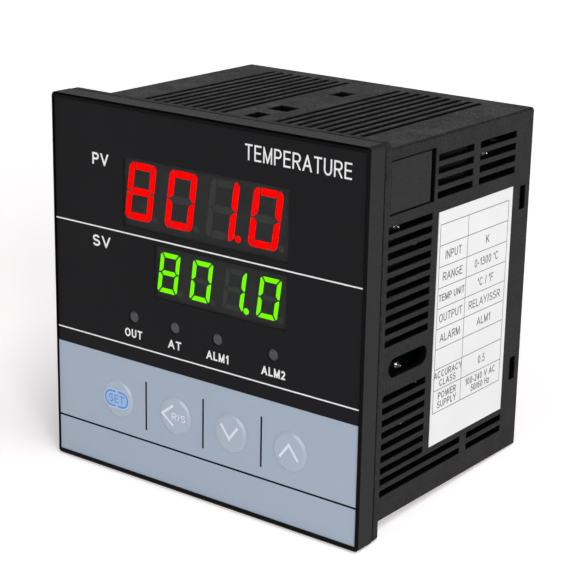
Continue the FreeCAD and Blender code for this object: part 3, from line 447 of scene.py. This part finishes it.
STEM = ([(0, 0), (0, 1)], 0.5, 0.5)
BOWL = ([(0, 1), *arc(0.56, 0.735, 0.44, 0.265, 90, -90), (0, 0.47)], 0.5, 0)
SIGNS = {
    "A": (0.92, [([(0, 0), (0.5, 1), (1, 0)], 1, 1), ([(0.16, 0.31), (0.84, 0.31)], 0, 0)]),
    "C": (0.86, [(arc(0.5, 0.5, 0.5, 0.5, 38, 322, 24), 0, 0)]),
    "E": (0.72, [([(1, 1), (0, 1), (0, 0), (1, 0)], 0.5, 0.5),
                 ([(0, 0.52), (0.92, 0.52)], 0, 0.5)]),
    "F": (0.70, [([(1, 1), (0, 1), (0, 0)], 0.5, 0.5), ([(0, 0.5), (0.86, 0.5)], 0, 0.5)]),
    "G": (0.88, [([*arc(0.5, 0.5, 0.5, 0.5, 42, 318, 24), (0.98, 0.2), (0.98, 0.46),
                   (0.56, 0.46)], 0, 0.3)]),
    "H": (0.78, [STEM, ([(1, 0), (1, 1)], 0.5, 0.5), ([(0, 0.52), (1, 0.52)], 0, 0)]),
    "I": (None, [STEM]),
    "K": (0.84, [STEM, ([(0, 0.32), (0.94, 1)], 0, 1), ([(0.3, 0.56), (1, 0)], 0, 1)]),
    "L": (0.66, [([(0, 1), (0, 0), (1, 0)], 0.5, 0.5)]),
    "M": (0.92, [([(0, 0), (0, 1), (0.5, 0), (1, 1), (1, 0)], 0.5, 0.5)]),
    "N": (0.78, [([(0, 0), (0, 1), (1, 0), (1, 1)], 0.5, 0.5)]),
    "O": (0.94, [(ring(0.5, 0.5, 0.5, 0.5), 0, 0)]),
    "P": (0.76, [STEM, BOWL]),
    "R": (0.82, [STEM, BOWL, ([(0.5, 0.47), (0.98, 0)], 0, 1)]),
    "S": (0.80, [([*arc(0.5, 0.755, 0.46, 0.245, 18, 250, 18),
                   *arc(0.5, 0.255, 0.5, 0.255, 72, -162, 18)], 0, 0)]),
    "T": (0.78, [([(0, 1), (1, 1)], 0.5, 0.5), ([(0.5, 0), (0.5, 1)], 0.5, 0)]),
    "U": (0.80, [([(0, 1), *arc(0.5, 0.34, 0.5, 0.34, 180, 360), (1, 1)], 0.5, 0.5)]),
    "V": (0.90, [([(0, 1), (0.5, 0), (1, 1)], 1, 1)]),
    "W": (1.28, [([(0, 1), (0.26, 0), (0.5, 1), (0.74, 0), (1, 1)], 1, 1)]),
    "Y": (0.88, [([(0, 1), (0.5, 0.42), (1, 1)], 1, 1), ([(0.5, 0.42), (0.5, 0)], 0, 0.5)]),
    "0": (0.64, [(ring(0.5, 0.5, 0.5, 0.5), 0, 0)]),
    "1": (0.44, [([(1, 0), (1, 1)], 0.5, 0.5), ([(0, 0.74), (1, 1)], 0.2, 0)]),
    "2": (0.64, [([*arc(0.5, 0.71, 0.48, 0.29, 168, -38, 18), (0, 0), (1, 0)], 0, 0.5)]),
    "3": (0.64, [([*arc(0.48, 0.76, 0.42, 0.24, 162, -88, 16),
                   *arc(0.48, 0.26, 0.52, 0.26, 84, -165, 16)], 0, 0)]),
    "4": (0.66, [([(0.74, 0), (0.74, 1), (0, 0.26), (1, 0.26)], 0.5, 0.5)]),
    "5": (0.64, [([(0.92, 1), (0.2, 1), (0.1, 0.5), *arc(0.46, 0.33, 0.54, 0.33, 132, -160, 18)],
                  0.5, 0)]),
    "6": (0.64, [(ring(0.5, 0.31, 0.5, 0.31), 0, 0), (arc(0.56, 0.5, 0.56, 0.5, 190, 42), 0, 0)]),
    "z": (0.50, [([(0, 0.68), (1, 0.68), (0, 0), (1, 0)], 0.5, 0.5)]),
    "-": (0.34, [([(0, 0.38), (1, 0.38)], 0.5, 0.5)]),
    "/": (0.30, [([(0, 0), (1, 1)], 1, 1)]),
    ".": (None, [([(0, 0), (0, 0.001)], 0.5, 0.5)]),
    "'": (0.24, [(ring(0.5, 0.86, 0.5, 0.14), 0, 0)]),
    " ": (0.28, []),
}
SIGN_GAP = 0.19
STROKE_STEP = 0.002  # strokes that cross lie this far apart, so that their faces never coincide
SAME_POINT = 1e-6
LEAST_MITRE = 0.12  # keeps a sharp joint from running far out


def quads(points, width, run_on):
    """The four-sided pieces of one stroke, with mitred joints."""
    points = ([p for p, q in zip(points, points[1:]) if math.dist(p, q) > SAME_POINT]
              + [points[-1]])
    closed = math.dist(points[0], points[-1]) < SAME_POINT
    headings = []
    for (u0, v0), (u1, v1) in zip(points, points[1:]):
        length = math.hypot(u1 - u0, v1 - v0)
        headings.append(((u1 - u0) / length, (v1 - v0) / length))
    if not closed:
        for end, heading, sign in ((0, headings[0], -1), (-1, headings[-1], 1)):
            reach = sign * run_on[end] * width
            points[end] = (points[end][0] + heading[0] * reach,
                           points[end][1] + heading[1] * reach)
    sides = []
    for i, (u, v) in enumerate(points):
        before = headings[i - 1] if i or closed else headings[0]
        after = headings[i % len(headings)] if i < len(headings) or closed else headings[-1]
        nu, nv = -(before[1] + after[1]), before[0] + after[0]
        size = max(nu * nu + nv * nv, LEAST_MITRE) / width
        sides.append(((u + nu / size, v + nv / size), (u - nu / size, v - nv / size)))
    return [[a[0], b[0], b[1], a[1]] for a, b in zip(sides, sides[1:])]


def lettering(name, word, plane, face, middle, cap, stroke, width=None, condense=1.0):
    """A word in raised ink with capitals cap high about the middle, drawn with this stroke
    width and fitted to a total width if one is given."""
    sizes = [SIGNS[sign][0] for sign in word]
    fixed = sum(stroke for size in sizes if size is None)
    free = cap * (sum(size for size in sizes if size) + SIGN_GAP * (len(word) - 1))
    if width:
        condense = (width - fixed) / free
    u = middle[0] - (fixed + free * condense) / 2
    ink = bmesh.new()
    low, high = face * MM, (face + INK) * MM
    for sign, size in zip(word, sizes):
        across = stroke if size is None else cap * size * condense
        for layer, (points, start, end) in enumerate(SIGNS[sign][1]):
            top_w = high + layer * STROKE_STEP * MM
            placed = [(u + stroke / 2 + pu * (across - stroke),
                       middle[1] - cap / 2 + stroke / 2 + pv * (cap - stroke))
                      for pu, pv in points]
            for quad in quads(placed, stroke, (start, end)):
                quad = trim(trim(quad, 0, 1, middle[1] + cap / 2), 0, -1, cap / 2 - middle[1])
                if len(quad) < 3:
                    continue
                top = [ink.verts.new((qu * MM, qv * MM, top_w)) for qu, qv in quad]
                foot = [ink.verts.new((qu * MM, qv * MM, low)) for qu, qv in quad]
                ink.faces.new(top)
                ink.faces.new(foot[::-1])
                for i in range(len(quad)):
                    j = (i + 1) % len(quad)
                    ink.faces.new((top[j], top[i], foot[i], foot[j]))
        u += across + SIGN_GAP * cap * condense
    bmesh.ops.recalc_face_normals(ink, faces=ink.faces)
    mesh = bpy.data.meshes.new(name)
    ink.to_mesh(mesh)
    ink.free()
    mesh.transform(plane)
    return mesh


# ---- film -------------------------------------------------------------------------------------
# The face of the film is a thin printed layer with see-through windows. The clear sheet's body
# behind it is cut wider, so that its edges aren't seen through a window.
front, back = -FILM_FRONT, -FILM_BACK
PRINT = 0.04
BEHIND_WINDOW = 0.6


def widened(window, by):
    return tuple((low - by, high + by) for low, high in window)


lamp_holes = [circle(x, LAMP_Z, LAMP_WINDOW_R) for x in LAMP_X.values()]
key_holes = [circle(x, KEY_Z, KEY_HOLE_R, KEY_HOLE_SIDES) for x in KEY_X.values()]
windows = [rectangle(*PV_WINDOW), rectangle(*SV_WINDOW)]
wide_windows = [rectangle(*widened(PV_WINDOW, BEHIND_WINDOW)),
                rectangle(*widened(SV_WINDOW, BEHIND_WINDOW))]
across = (-FILM_X, FILM_X)
black = plate("film_black_field", [rectangle(across, (GREY_TOP, FILM_Z))] + windows + lamp_holes,
              FRONT, front - PRINT, front, "film_black")
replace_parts(black, "front_overlay")
plate("film_grey_field", [rectangle(across, (-FILM_Z, GREY_TOP))] + key_holes,
      FRONT, front - PRINT, front, "film_grey")
plate("film_body",
      [rectangle(across, (-FILM_Z, FILM_Z))] + wide_windows + lamp_holes + key_holes,
      FRONT, back, front - PRINT, "film_black")
plate("film_windows", windows, FRONT, front - PRINT, front, "film_window")
for name, outlines, ink in (
        ("white_lines", [rectangle(across, band(z, LINE_WIDTH)) for z in LINE_Z], "white_ink"),
        ("grey_line", [rectangle(across, band(GREY_LINE_Z, GREY_LINE_WIDTH))], "grey_line_ink"),
        ("separators", [rectangle(band(x, SEPARATOR_WIDTH), SEPARATOR_Z) for x in SEPARATOR_X],
         "separator_ink")):
    plate(name, outlines, FRONT, front, front + INK, ink)
for name, word, middle, cap, width, stroke in (
        ("legend_pv", "PV", (-31.85, 33.2), 3.0, 5.3, 0.52),
        ("legend_sv", "SV", (-31.8, 12.35), 2.9, 5.9, 0.52),
        ("legend_temperature", "TEMPERATURE", (28.25, 42.0), 3.8, 29.9, 0.43),
        ("legend_out", "OUT", (-21.35, -9.5), 2.2, 5.7, 0.42),
        ("legend_at", "AT", (-7.9, -9.5), 2.2, 4.2, 0.42),
        ("legend_alarm_1", "ALM1", (5.6, -9.5), 2.2, 6.8, 0.42),
        ("legend_alarm_2", "ALM2", (22.5, -9.5), 2.2, 7.0, 0.42)):
    show(name, lettering(name, word, FRONT, front, middle, cap, stroke, width),
         "white_ink")


# ---- displays ---------------------------------------------------------------------------------
def inset(outline, distance):
    """A convex outline, listed clockwise, moved in by this distance on every side."""
    result = outline
    for (u0, v0), (u1, v1) in zip(outline, outline[1:] + outline[:1]):
        length = math.hypot(u1 - u0, v1 - v0)
        nu, nv = -(v1 - v0) / length, (u1 - u0) / length
        result = trim(result, nu, nv, nu * u0 + nv * v0 - distance)
    return result


def digit_outlines(d):
    """The seven segments of an upright digit and its dot, about the digit's middle."""
    w, h = (d["width"] + d["gap"]) / 2, (d["height"] + d["gap"]) / 2
    t, m = d["stroke"] + d["gap"], d["mitre"]
    top = [(-w + t - m, h), (w - t + m, h), (w - t, h - t), (-w + t, h - t)]
    left = [(-w, 0), (-w, h), (-w + t - m, h), (-w + t, h - t), (-w + t, t / 2), (-w + t / 2, 0)]
    middle = [(-w + t / 2, 0), (-w + t, t / 2), (w - t, t / 2), (w - t / 2, 0), (w - t, -t / 2),
              (-w + t, -t / 2)]
    if m >= t:
        left.pop(2)
        top[0], top[1] = (-w, h), (w, h)

    def flipped(outline, su, sv):
        turned = [(su * u, sv * v) for u, v in outline]
        return turned if su * sv > 0 else turned[::-1]

    outlines = [top, flipped(top, 1, -1), middle]
    outlines += [flipped(left, su, sv) for su in (1, -1) for sv in (-1, 1)]
    for su in (-1, 1):
        for sv in (-1, 1):
            outlines = [trim(o, su, sv, w + h - d["corner"]) for o in outlines]
    outlines = [inset(o, d["gap"] / 2) for o in outlines]
    slanted = [[(u + v * SLANT, v) for u, v in o] for o in outlines]
    return slanted + [circle(*d["dot"], 32)]


def display(name, d, lit_material):
    """The segments of one display: lit ones that stand for the CAD node, and dark ones."""
    lit, dark = [], []
    for i, sign in enumerate(READING):
        u0 = d["x"] + (i - (len(READING) - 1) / 2) * d["pitch"]
        for k, outline in enumerate(digit_outlines(d)):
            placed = [(u0 + u, d["z"] + v) for u, v in outline]
            (lit if k in LIT[sign] else dark).append(placed)
    face = -box_mm(name + "_segments")[0][1]
    shining = plate(name + "_lit", lit, FRONT, face - SEGMENT_DEPTH, face, lit_material)
    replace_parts(shining, name + "_segments")
    plate(name + "_dark", dark, FRONT, face - SEGMENT_DEPTH, face, "segment_off")


display("pv", PV, "red_lit")
display("sv", SV, "green_lit")


# ---- lamps and keys ---------------------------------------------------------------------------
TURNED_SIDES = KEY_HOLE_SIDES
STEEP = 0.3  # faces whose normals lean out less than this are walls, and are shaded flat
SLOPE_STEPS = 14
KEY_FACE = front + KEY_RISE
MARK_WIDTH = 0.66


def turned(name, profile, x, z):
    """A profile of (radius, w) turned about an axis through (x, z) of the front face."""
    made = bmesh.new()
    rings = []
    for radius, w in profile:
        if radius == 0:
            rings.append([made.verts.new((0, 0, w * MM))])
        else:
            rings.append([made.verts.new((u * MM, v * MM, w * MM))
                          for u, v in circle(0, 0, radius, TURNED_SIDES)])
    for inner, outer in zip(rings, rings[1:]):
        for i in range(TURNED_SIDES):
            j = (i + 1) % TURNED_SIDES
            if len(inner) == 1:
                made.faces.new((inner[0], outer[i], outer[j]))
            elif len(outer) == 1:
                made.faces.new((inner[j], inner[i], outer[0]))
            else:
                made.faces.new((inner[i], outer[i], outer[j], inner[j]))
    bmesh.ops.recalc_face_normals(made, faces=made.faces)
    for face in made.faces:
        face.smooth = abs(face.normal.z) > STEEP
    mesh = bpy.data.meshes.new(name)
    made.to_mesh(mesh)
    made.free()
    mesh.transform(Matrix.Translation((x * MM, 0, z * MM)) @ FRONT)
    return mesh


def domed(radius, edge, top, steps=12):
    """The profile of a low dome that runs back into the film."""
    turns = [math.pi / 2 * i / steps for i in range(steps + 1)]
    return ([(radius * math.sin(a), edge + (top - edge) * math.cos(a)) for a in turns]
            + [(radius, back), (0.0, back)])


for lamp, x in LAMP_X.items():
    name = lamp + "_lamp_window"
    show(name, turned(name, domed(LAMP_WINDOW_R, front - LAMP_DOME, front), x, LAMP_Z),
         "film_lamp")


def slope(share, soft=0.15):
    """From 0 to 1 along a straight line with rounded ends."""
    straight = 1 - soft
    if share < soft:
        return share ** 2 / (2 * soft * straight)
    if share > straight:
        return 1 - (1 - share) ** 2 / (2 * soft * straight)
    return (share - soft / 2) / straight


def key_disc(name, x):
    """An embossed disc: flush with the film at its edge, with an even slope up to its flat."""
    profile = [(0.0, KEY_FACE), (KEY_FLAT_R * 0.6, KEY_FACE)]
    for i in range(SLOPE_STEPS + 1):
        share = i / SLOPE_STEPS
        profile.append((KEY_FLAT_R + (KEY_DISC_R - KEY_FLAT_R) * share,
                        front + KEY_RISE * (1 - slope(share))))
    return turned(name, profile + [(KEY_DISC_R, back), (0.0, back)], x, KEY_Z)


for key, x in KEY_X.items():
    disc = show(key + "_key_disc", key_disc(key + "_key_disc", x), "key_film",
                key + "_button")
    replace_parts(disc, key + "_key")


def mark(name, outlines, body, material="key_ink", lift=0):
    """Ink on a key, lift layers thicker than the first."""
    plate(name, outlines, FRONT, KEY_FACE, KEY_FACE + (lift + 1) * INK, material,
          body)


mark("up_mark", [chevron((24.95, -29.8), (27.65, -26.3), (30.35, -29.8), MARK_WIDTH)],
     "up_button")
mark("down_mark", [chevron((7.05, -26.1), (9.6, -29.5), (12.2, -26.1), MARK_WIDTH)],
     "down_button")
mark("shift_mark", [chevron((-8.2, -25.3), (-11.7, -28.0), (-8.2, -30.6), MARK_WIDTH)],
     "shift_button")
show("shift_letters", lettering("shift_letters", "R/S", FRONT, KEY_FACE, (-6.45, -28.15), 1.9,
                                0.25, 4.3), "key_ink", "shift_button")
SET_U, SET_V = (-31.0, -23.1), (-30.3, -26.0)
SET_MIDDLE = (sum(SET_U) / 2, sum(SET_V) / 2)
STADIUM_R = (SET_V[1] - SET_V[0]) / 2
STADIUM_END = (SET_U[1] - SET_U[0]) / 2 - STADIUM_R
STADIUM_GAP = 0.8
STADIUM_WIDTH = 0.42


def half_stadium(side):
    """One half of the broken outline round SET, open where the halves meet."""
    def path(radius):
        points = [(STADIUM_GAP / 2, radius)]
        points += [(STADIUM_END + radius * math.sin(a), radius * math.cos(a))
                   for a in [math.pi * i / 20 for i in range(21)]]
        return points + [(STADIUM_GAP / 2, -radius)]

    outline = path(STADIUM_R) + path(STADIUM_R - STADIUM_WIDTH)[::-1]
    return [(SET_MIDDLE[0] + side * u, SET_MIDDLE[1] + v) for u, v in outline]


def stadium(grow):
    """The shape inside the outline, grown by this much."""
    (u, v), r = SET_MIDDLE, STADIUM_R + grow
    return arc(u + STADIUM_END, v, r, r, -90, 90) + arc(u - STADIUM_END, v, r, r, 90, 270)


# The blue fades from the middle of the mark outwards, in printed steps.
mark("set_haze", [stadium(0.5)], "set_button", "blue_haze_ink")
mark("set_glow", [stadium(-0.1)], "set_button", "blue_glow_ink", 1)
mark("set_outline", [half_stadium(side) for side in (-1, 1)], "set_button", "blue_ink", 2)
show("set_letters", lettering("set_letters", "SET", FRONT, KEY_FACE + 2 * INK,
                              (-27.1, -28.15), 2.1, 0.3, 5.2),
     "blue_ink", "set_button")

# ---- label ------------------------------------------------------------------------------------
GRID_Y = (25.9, 57.4)
GRID_DIVIDER = 38.5
GRID_ROWS = (23.4, 18.2, 12.85, 7.6, 2.45, -2.7, -7.9, -13.05, -18.55, -24.3)
GRID_WIDTH = 0.16
grid = [rectangle(GRID_Y, band(z, GRID_WIDTH)) for z in GRID_ROWS]
for z_low, z_high in zip(GRID_ROWS[1:], GRID_ROWS):
    for y in (*GRID_Y, GRID_DIVIDER):
        grid.append(rectangle(band(y, GRID_WIDTH),
                              (z_low + GRID_WIDTH / 2, z_high - GRID_WIDTH / 2)))
plate("label_grid", grid, RIGHT, LABEL_FACE, LABEL_FACE + INK, "label_ink")
CAP_LARGE, CAP_SMALL, LABEL_STROKE = 2.1, 1.8, 0.25
LABEL_LINE = 2.3
LABEL_CONDENSE = 0.86
# Row of the grid, then the words and the height of the heading and of the value.
ROWS = ((1, ("INPUT",), CAP_LARGE, ("K",), CAP_LARGE),
        (2, ("RANGE",), CAP_LARGE, ("0-1300 'C",), CAP_LARGE),
        (3, ("TEMP UNIT",), CAP_SMALL, ("'C / 'F",), CAP_LARGE),
        (4, ("OUTPUT",), CAP_LARGE, ("RELAY/SSR",), CAP_LARGE),
        (5, ("ALARM",), CAP_LARGE, ("ALM1",), CAP_LARGE),
        (7, ("ACCURACY", "CLASS"), CAP_SMALL, ("0.5",), CAP_LARGE),
        (8, ("POWER", "SUPPLY"), CAP_SMALL, ("100-240 V AC", "50/60 Hz"), CAP_SMALL))
for row, heading, heading_cap, value, value_cap in ROWS:
    middle = (GRID_ROWS[row] + GRID_ROWS[row + 1]) / 2
    for side, u, words, cap in (("heading", (GRID_Y[0] + GRID_DIVIDER) / 2, heading, heading_cap),
                                ("value", (GRID_Y[1] + GRID_DIVIDER) / 2, value, value_cap)):
        for i, word in enumerate(words):
            v = middle + ((len(words) - 1) / 2 - i) * LABEL_LINE
            name = f"label_{side}_{row}_{i}"
            show(name, lettering(name, word, RIGHT, LABEL_FACE, (u, v), cap, LABEL_STROKE,
                                 condense=LABEL_CONDENSE),
                 "label_ink")

# ---- solder -----------------------------------------------------------------------------------
BEAD_SIDES = 16
# How far out from the board, and how wide, as shares of the cone's height and of its radius.
BEAD = ((0, 1.0), (0.08, 0.86), (0.25, 0.62), (0.5, 0.5), (0.72, 0.44), (0.88, 0.34), (0.97, 0.2),
        (1.0, 0.06))


def beads(node, sign):
    """A bead of solder for each cone of the CAD node: a foot that flares onto the board, a waist
    and a rounded top. The cones point to the right where sign is 1, and to the left where -1."""
    cones = bmesh.new()
    cones.from_mesh(nodes[node].data)
    bmesh.ops.remove_doubles(cones, verts=cones.verts, dist=1e-6)
    left = set(cones.verts)
    made = bmesh.new()
    while left:
        island, edge = [], [left.pop()]
        while edge:
            v = edge.pop()
            island.append(v.co.copy())
            for link in v.link_edges:
                other = link.other_vert(v)
                if other in left:
                    left.remove(other)
                    edge.append(other)
        low = [min(c[k] for c in island) for k in range(3)]
        high = [max(c[k] for c in island) for k in range(3)]
        foot, tip = (low[0], high[0]) if sign > 0 else (high[0], low[0])
        middle, radius = [(a + b) / 2 for a, b in zip(low, high)], (high[1] - low[1]) / 2
        turns = [2 * math.pi * k / BEAD_SIDES for k in range(BEAD_SIDES)]
        rings = []
        for out, share in BEAD:
            x = foot + (tip - foot) * out
            rings.append([made.verts.new((x, middle[1] + share * radius * math.cos(a),
                                          middle[2] + share * radius * math.sin(a)))
                          for a in turns])
        for inner, outer in zip(rings, rings[1:]):
            for k in range(BEAD_SIDES):
                j = (k + 1) % BEAD_SIDES
                made.faces.new((inner[k], inner[j], outer[j], outer[k])).smooth = True
        made.faces.new(rings[0][::-1])
        made.faces.new(rings[-1])
    cones.free()
    bmesh.ops.recalc_face_normals(made, faces=made.faces)
    mesh = bpy.data.meshes.new(node + "_beads")
    made.to_mesh(mesh)
    made.free()
    return mesh


for node, sign in (("power_board_solder", 1), ("input_board_solder", -1)):
    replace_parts(show(node + "_beads", beads(node, sign), "solder"), node)

# ---- camera -----------------------------------------------------------------------------------
CAMERA_PLACE = (253.72, -310.484, 129.506)
CAMERA_TURN = (72.74938, -1.06632, 37.26579)
LENS, SENSOR = 108.25, 36.0
NEAREST, FARTHEST = 0.02, 20.0
camera = bpy.data.objects.new("camera", bpy.data.cameras.new("camera"))
bpy.context.scene.collection.objects.link(camera)
camera.location = [v * MM for v in CAMERA_PLACE]
camera.rotation_euler = [math.radians(a) for a in CAMERA_TURN]
camera.data.lens, camera.data.sensor_width = LENS, SENSOR
camera.data.clip_start, camera.data.clip_end = NEAREST, FARTHEST
bpy.context.scene.camera = camera

# ---- stage ------------------------------------------------------------------------------------
# The lip of the flange stands out past the case, so on a table the controller leans back a
# little: the floor passes under the flange's rear edge and the case's lower rear edge.
REST_RISE = 2.6
FLOOR_HALF = 6.0
FLOOR_LIFT = (0.36, 0.8)
FLOOR_LIFT_REACH = (0.1, 1.3)
PALE = (1.0, 0.985, 0.985, 1)
floor_mesh = bpy.data.meshes.new("floor")
floor_mesh.from_pydata([(FLOOR_HALF * x, FLOOR_HALF * y, 0)
                        for x, y in ((-1, -1), (1, -1), (1, 1), (-1, 1))], [], [(0, 1, 2, 3)])
floor = bpy.data.objects.new("floor", floor_mesh)
bpy.context.scene.collection.objects.link(floor)
floor.location = (0, 0, case_low[2] * MM)
floor.rotation_euler = (math.atan2(REST_RISE, case_high[1]), 0, 0)
floor_finish = Finish("floor", (246, 243, 243), 0.7)
floor_finish.tint(400, 0.01)


def seen_rays(tree):
    """A socket that is 1 for the camera's rays, and for the rays of anything that mirrors the
    background or is seen through."""
    path = tree.nodes.new("ShaderNodeLightPath")
    total = path.outputs["Is Camera Ray"]
    for kind in ("Is Glossy Ray", "Is Transmission Ray"):
        either = tree.nodes.new("ShaderNodeMath")
        either.operation = "MAXIMUM"
        tree.links.new(total, either.inputs[0])
        tree.links.new(path.outputs[kind], either.inputs[1])
        total = either.outputs["Value"]
    return total


# The floor is lifted towards white where it is seen, more so far away where the lamps don't reach,
# and keeps the object's shadow.
away = floor_finish.node("ShaderNodeVectorMath", operation="LENGTH")
floor_finish.link(floor_finish.place, away.inputs[0])
lift = floor_finish.node("ShaderNodeMath", operation="MULTIPLY")
floor_finish.link(floor_finish.spread(away.outputs["Value"], *FLOOR_LIFT, FLOOR_LIFT_REACH),
                  lift.inputs[1])
floor_finish.link(seen_rays(floor_finish.tree), lift.inputs[0])
floor_finish.link(lift.outputs["Value"], floor_finish.shader.inputs["Emission Strength"])
floor_finish.shader.inputs["Emission Color"].default_value = PALE
floor_mesh.materials.append(floor_finish.material)


def softbox(name, place, target, size, power):
    """A square lamp in metres, turned to face its target."""
    lamp = bpy.data.lights.new(name, "AREA")
    lamp.shape, lamp.size, lamp.energy = "SQUARE", size, power
    holder = bpy.data.objects.new(name, lamp)
    bpy.context.scene.collection.objects.link(holder)
    holder.location = place
    holder.rotation_mode = "QUATERNION"
    holder.rotation_quaternion = (Vector(place) - Vector(target)).to_track_quat("Z", "Y")


softbox("key_light", (1.15, -0.85, 0.6), (0, 0.03, 0), 0.4, 11)
softbox("top_light", (0.55, -0.05, 1.25), (0, 0.03, 0), 0.8, 8.5)
softbox("front_light", (-0.2, -1.35, 0.2), (0, 0, 0), 0.7, 3.2)

world = bpy.data.worlds.new("studio")
bpy.context.scene.world = world
world.use_nodes = True
tree = world.node_tree
towards = tree.nodes.new("ShaderNodeSeparateXYZ")
tree.links.new(tree.nodes.new("ShaderNodeTexCoord").outputs["Generated"],
               towards.inputs["Vector"])


def shade_along(background, axis, reach, strengths):
    """Run a background's strength between two values along one axis of the direction."""
    fade = tree.nodes.new("ShaderNodeMapRange")
    fade.inputs["From Min"].default_value, fade.inputs["From Max"].default_value = reach
    fade.inputs["To Min"].default_value, fade.inputs["To Max"].default_value = strengths
    tree.links.new(towards.outputs[axis], fade.inputs["Value"])
    tree.links.new(fade.outputs["Result"], background.inputs["Strength"])


# The studio is brighter in front of the object than behind it.
soft = tree.nodes["Background"]
soft.inputs["Color"].default_value = (1.0, 1.0, 1.0, 1)
shade_along(soft, "Y", (-0.6, 0.6), (0.40, 0.10))
# Where it is seen it is white round the horizon, and darker high above.
seen = tree.nodes.new("ShaderNodeBackground")
seen.inputs["Color"].default_value = (1.0, 0.985, 0.99, 1)
shade_along(seen, "Z", (0.17, 0.4), (1.0, 0.1))
mix = tree.nodes.new("ShaderNodeMixShader")
tree.links.new(seen_rays(tree), mix.inputs["Fac"])
tree.links.new(soft.outputs["Background"], mix.inputs[1])
tree.links.new(seen.outputs["Background"], mix.inputs[2])
tree.links.new(mix.outputs["Shader"], tree.nodes["World Output"].inputs["Surface"])
bpy.context.scene.view_settings.view_transform = "Standard"
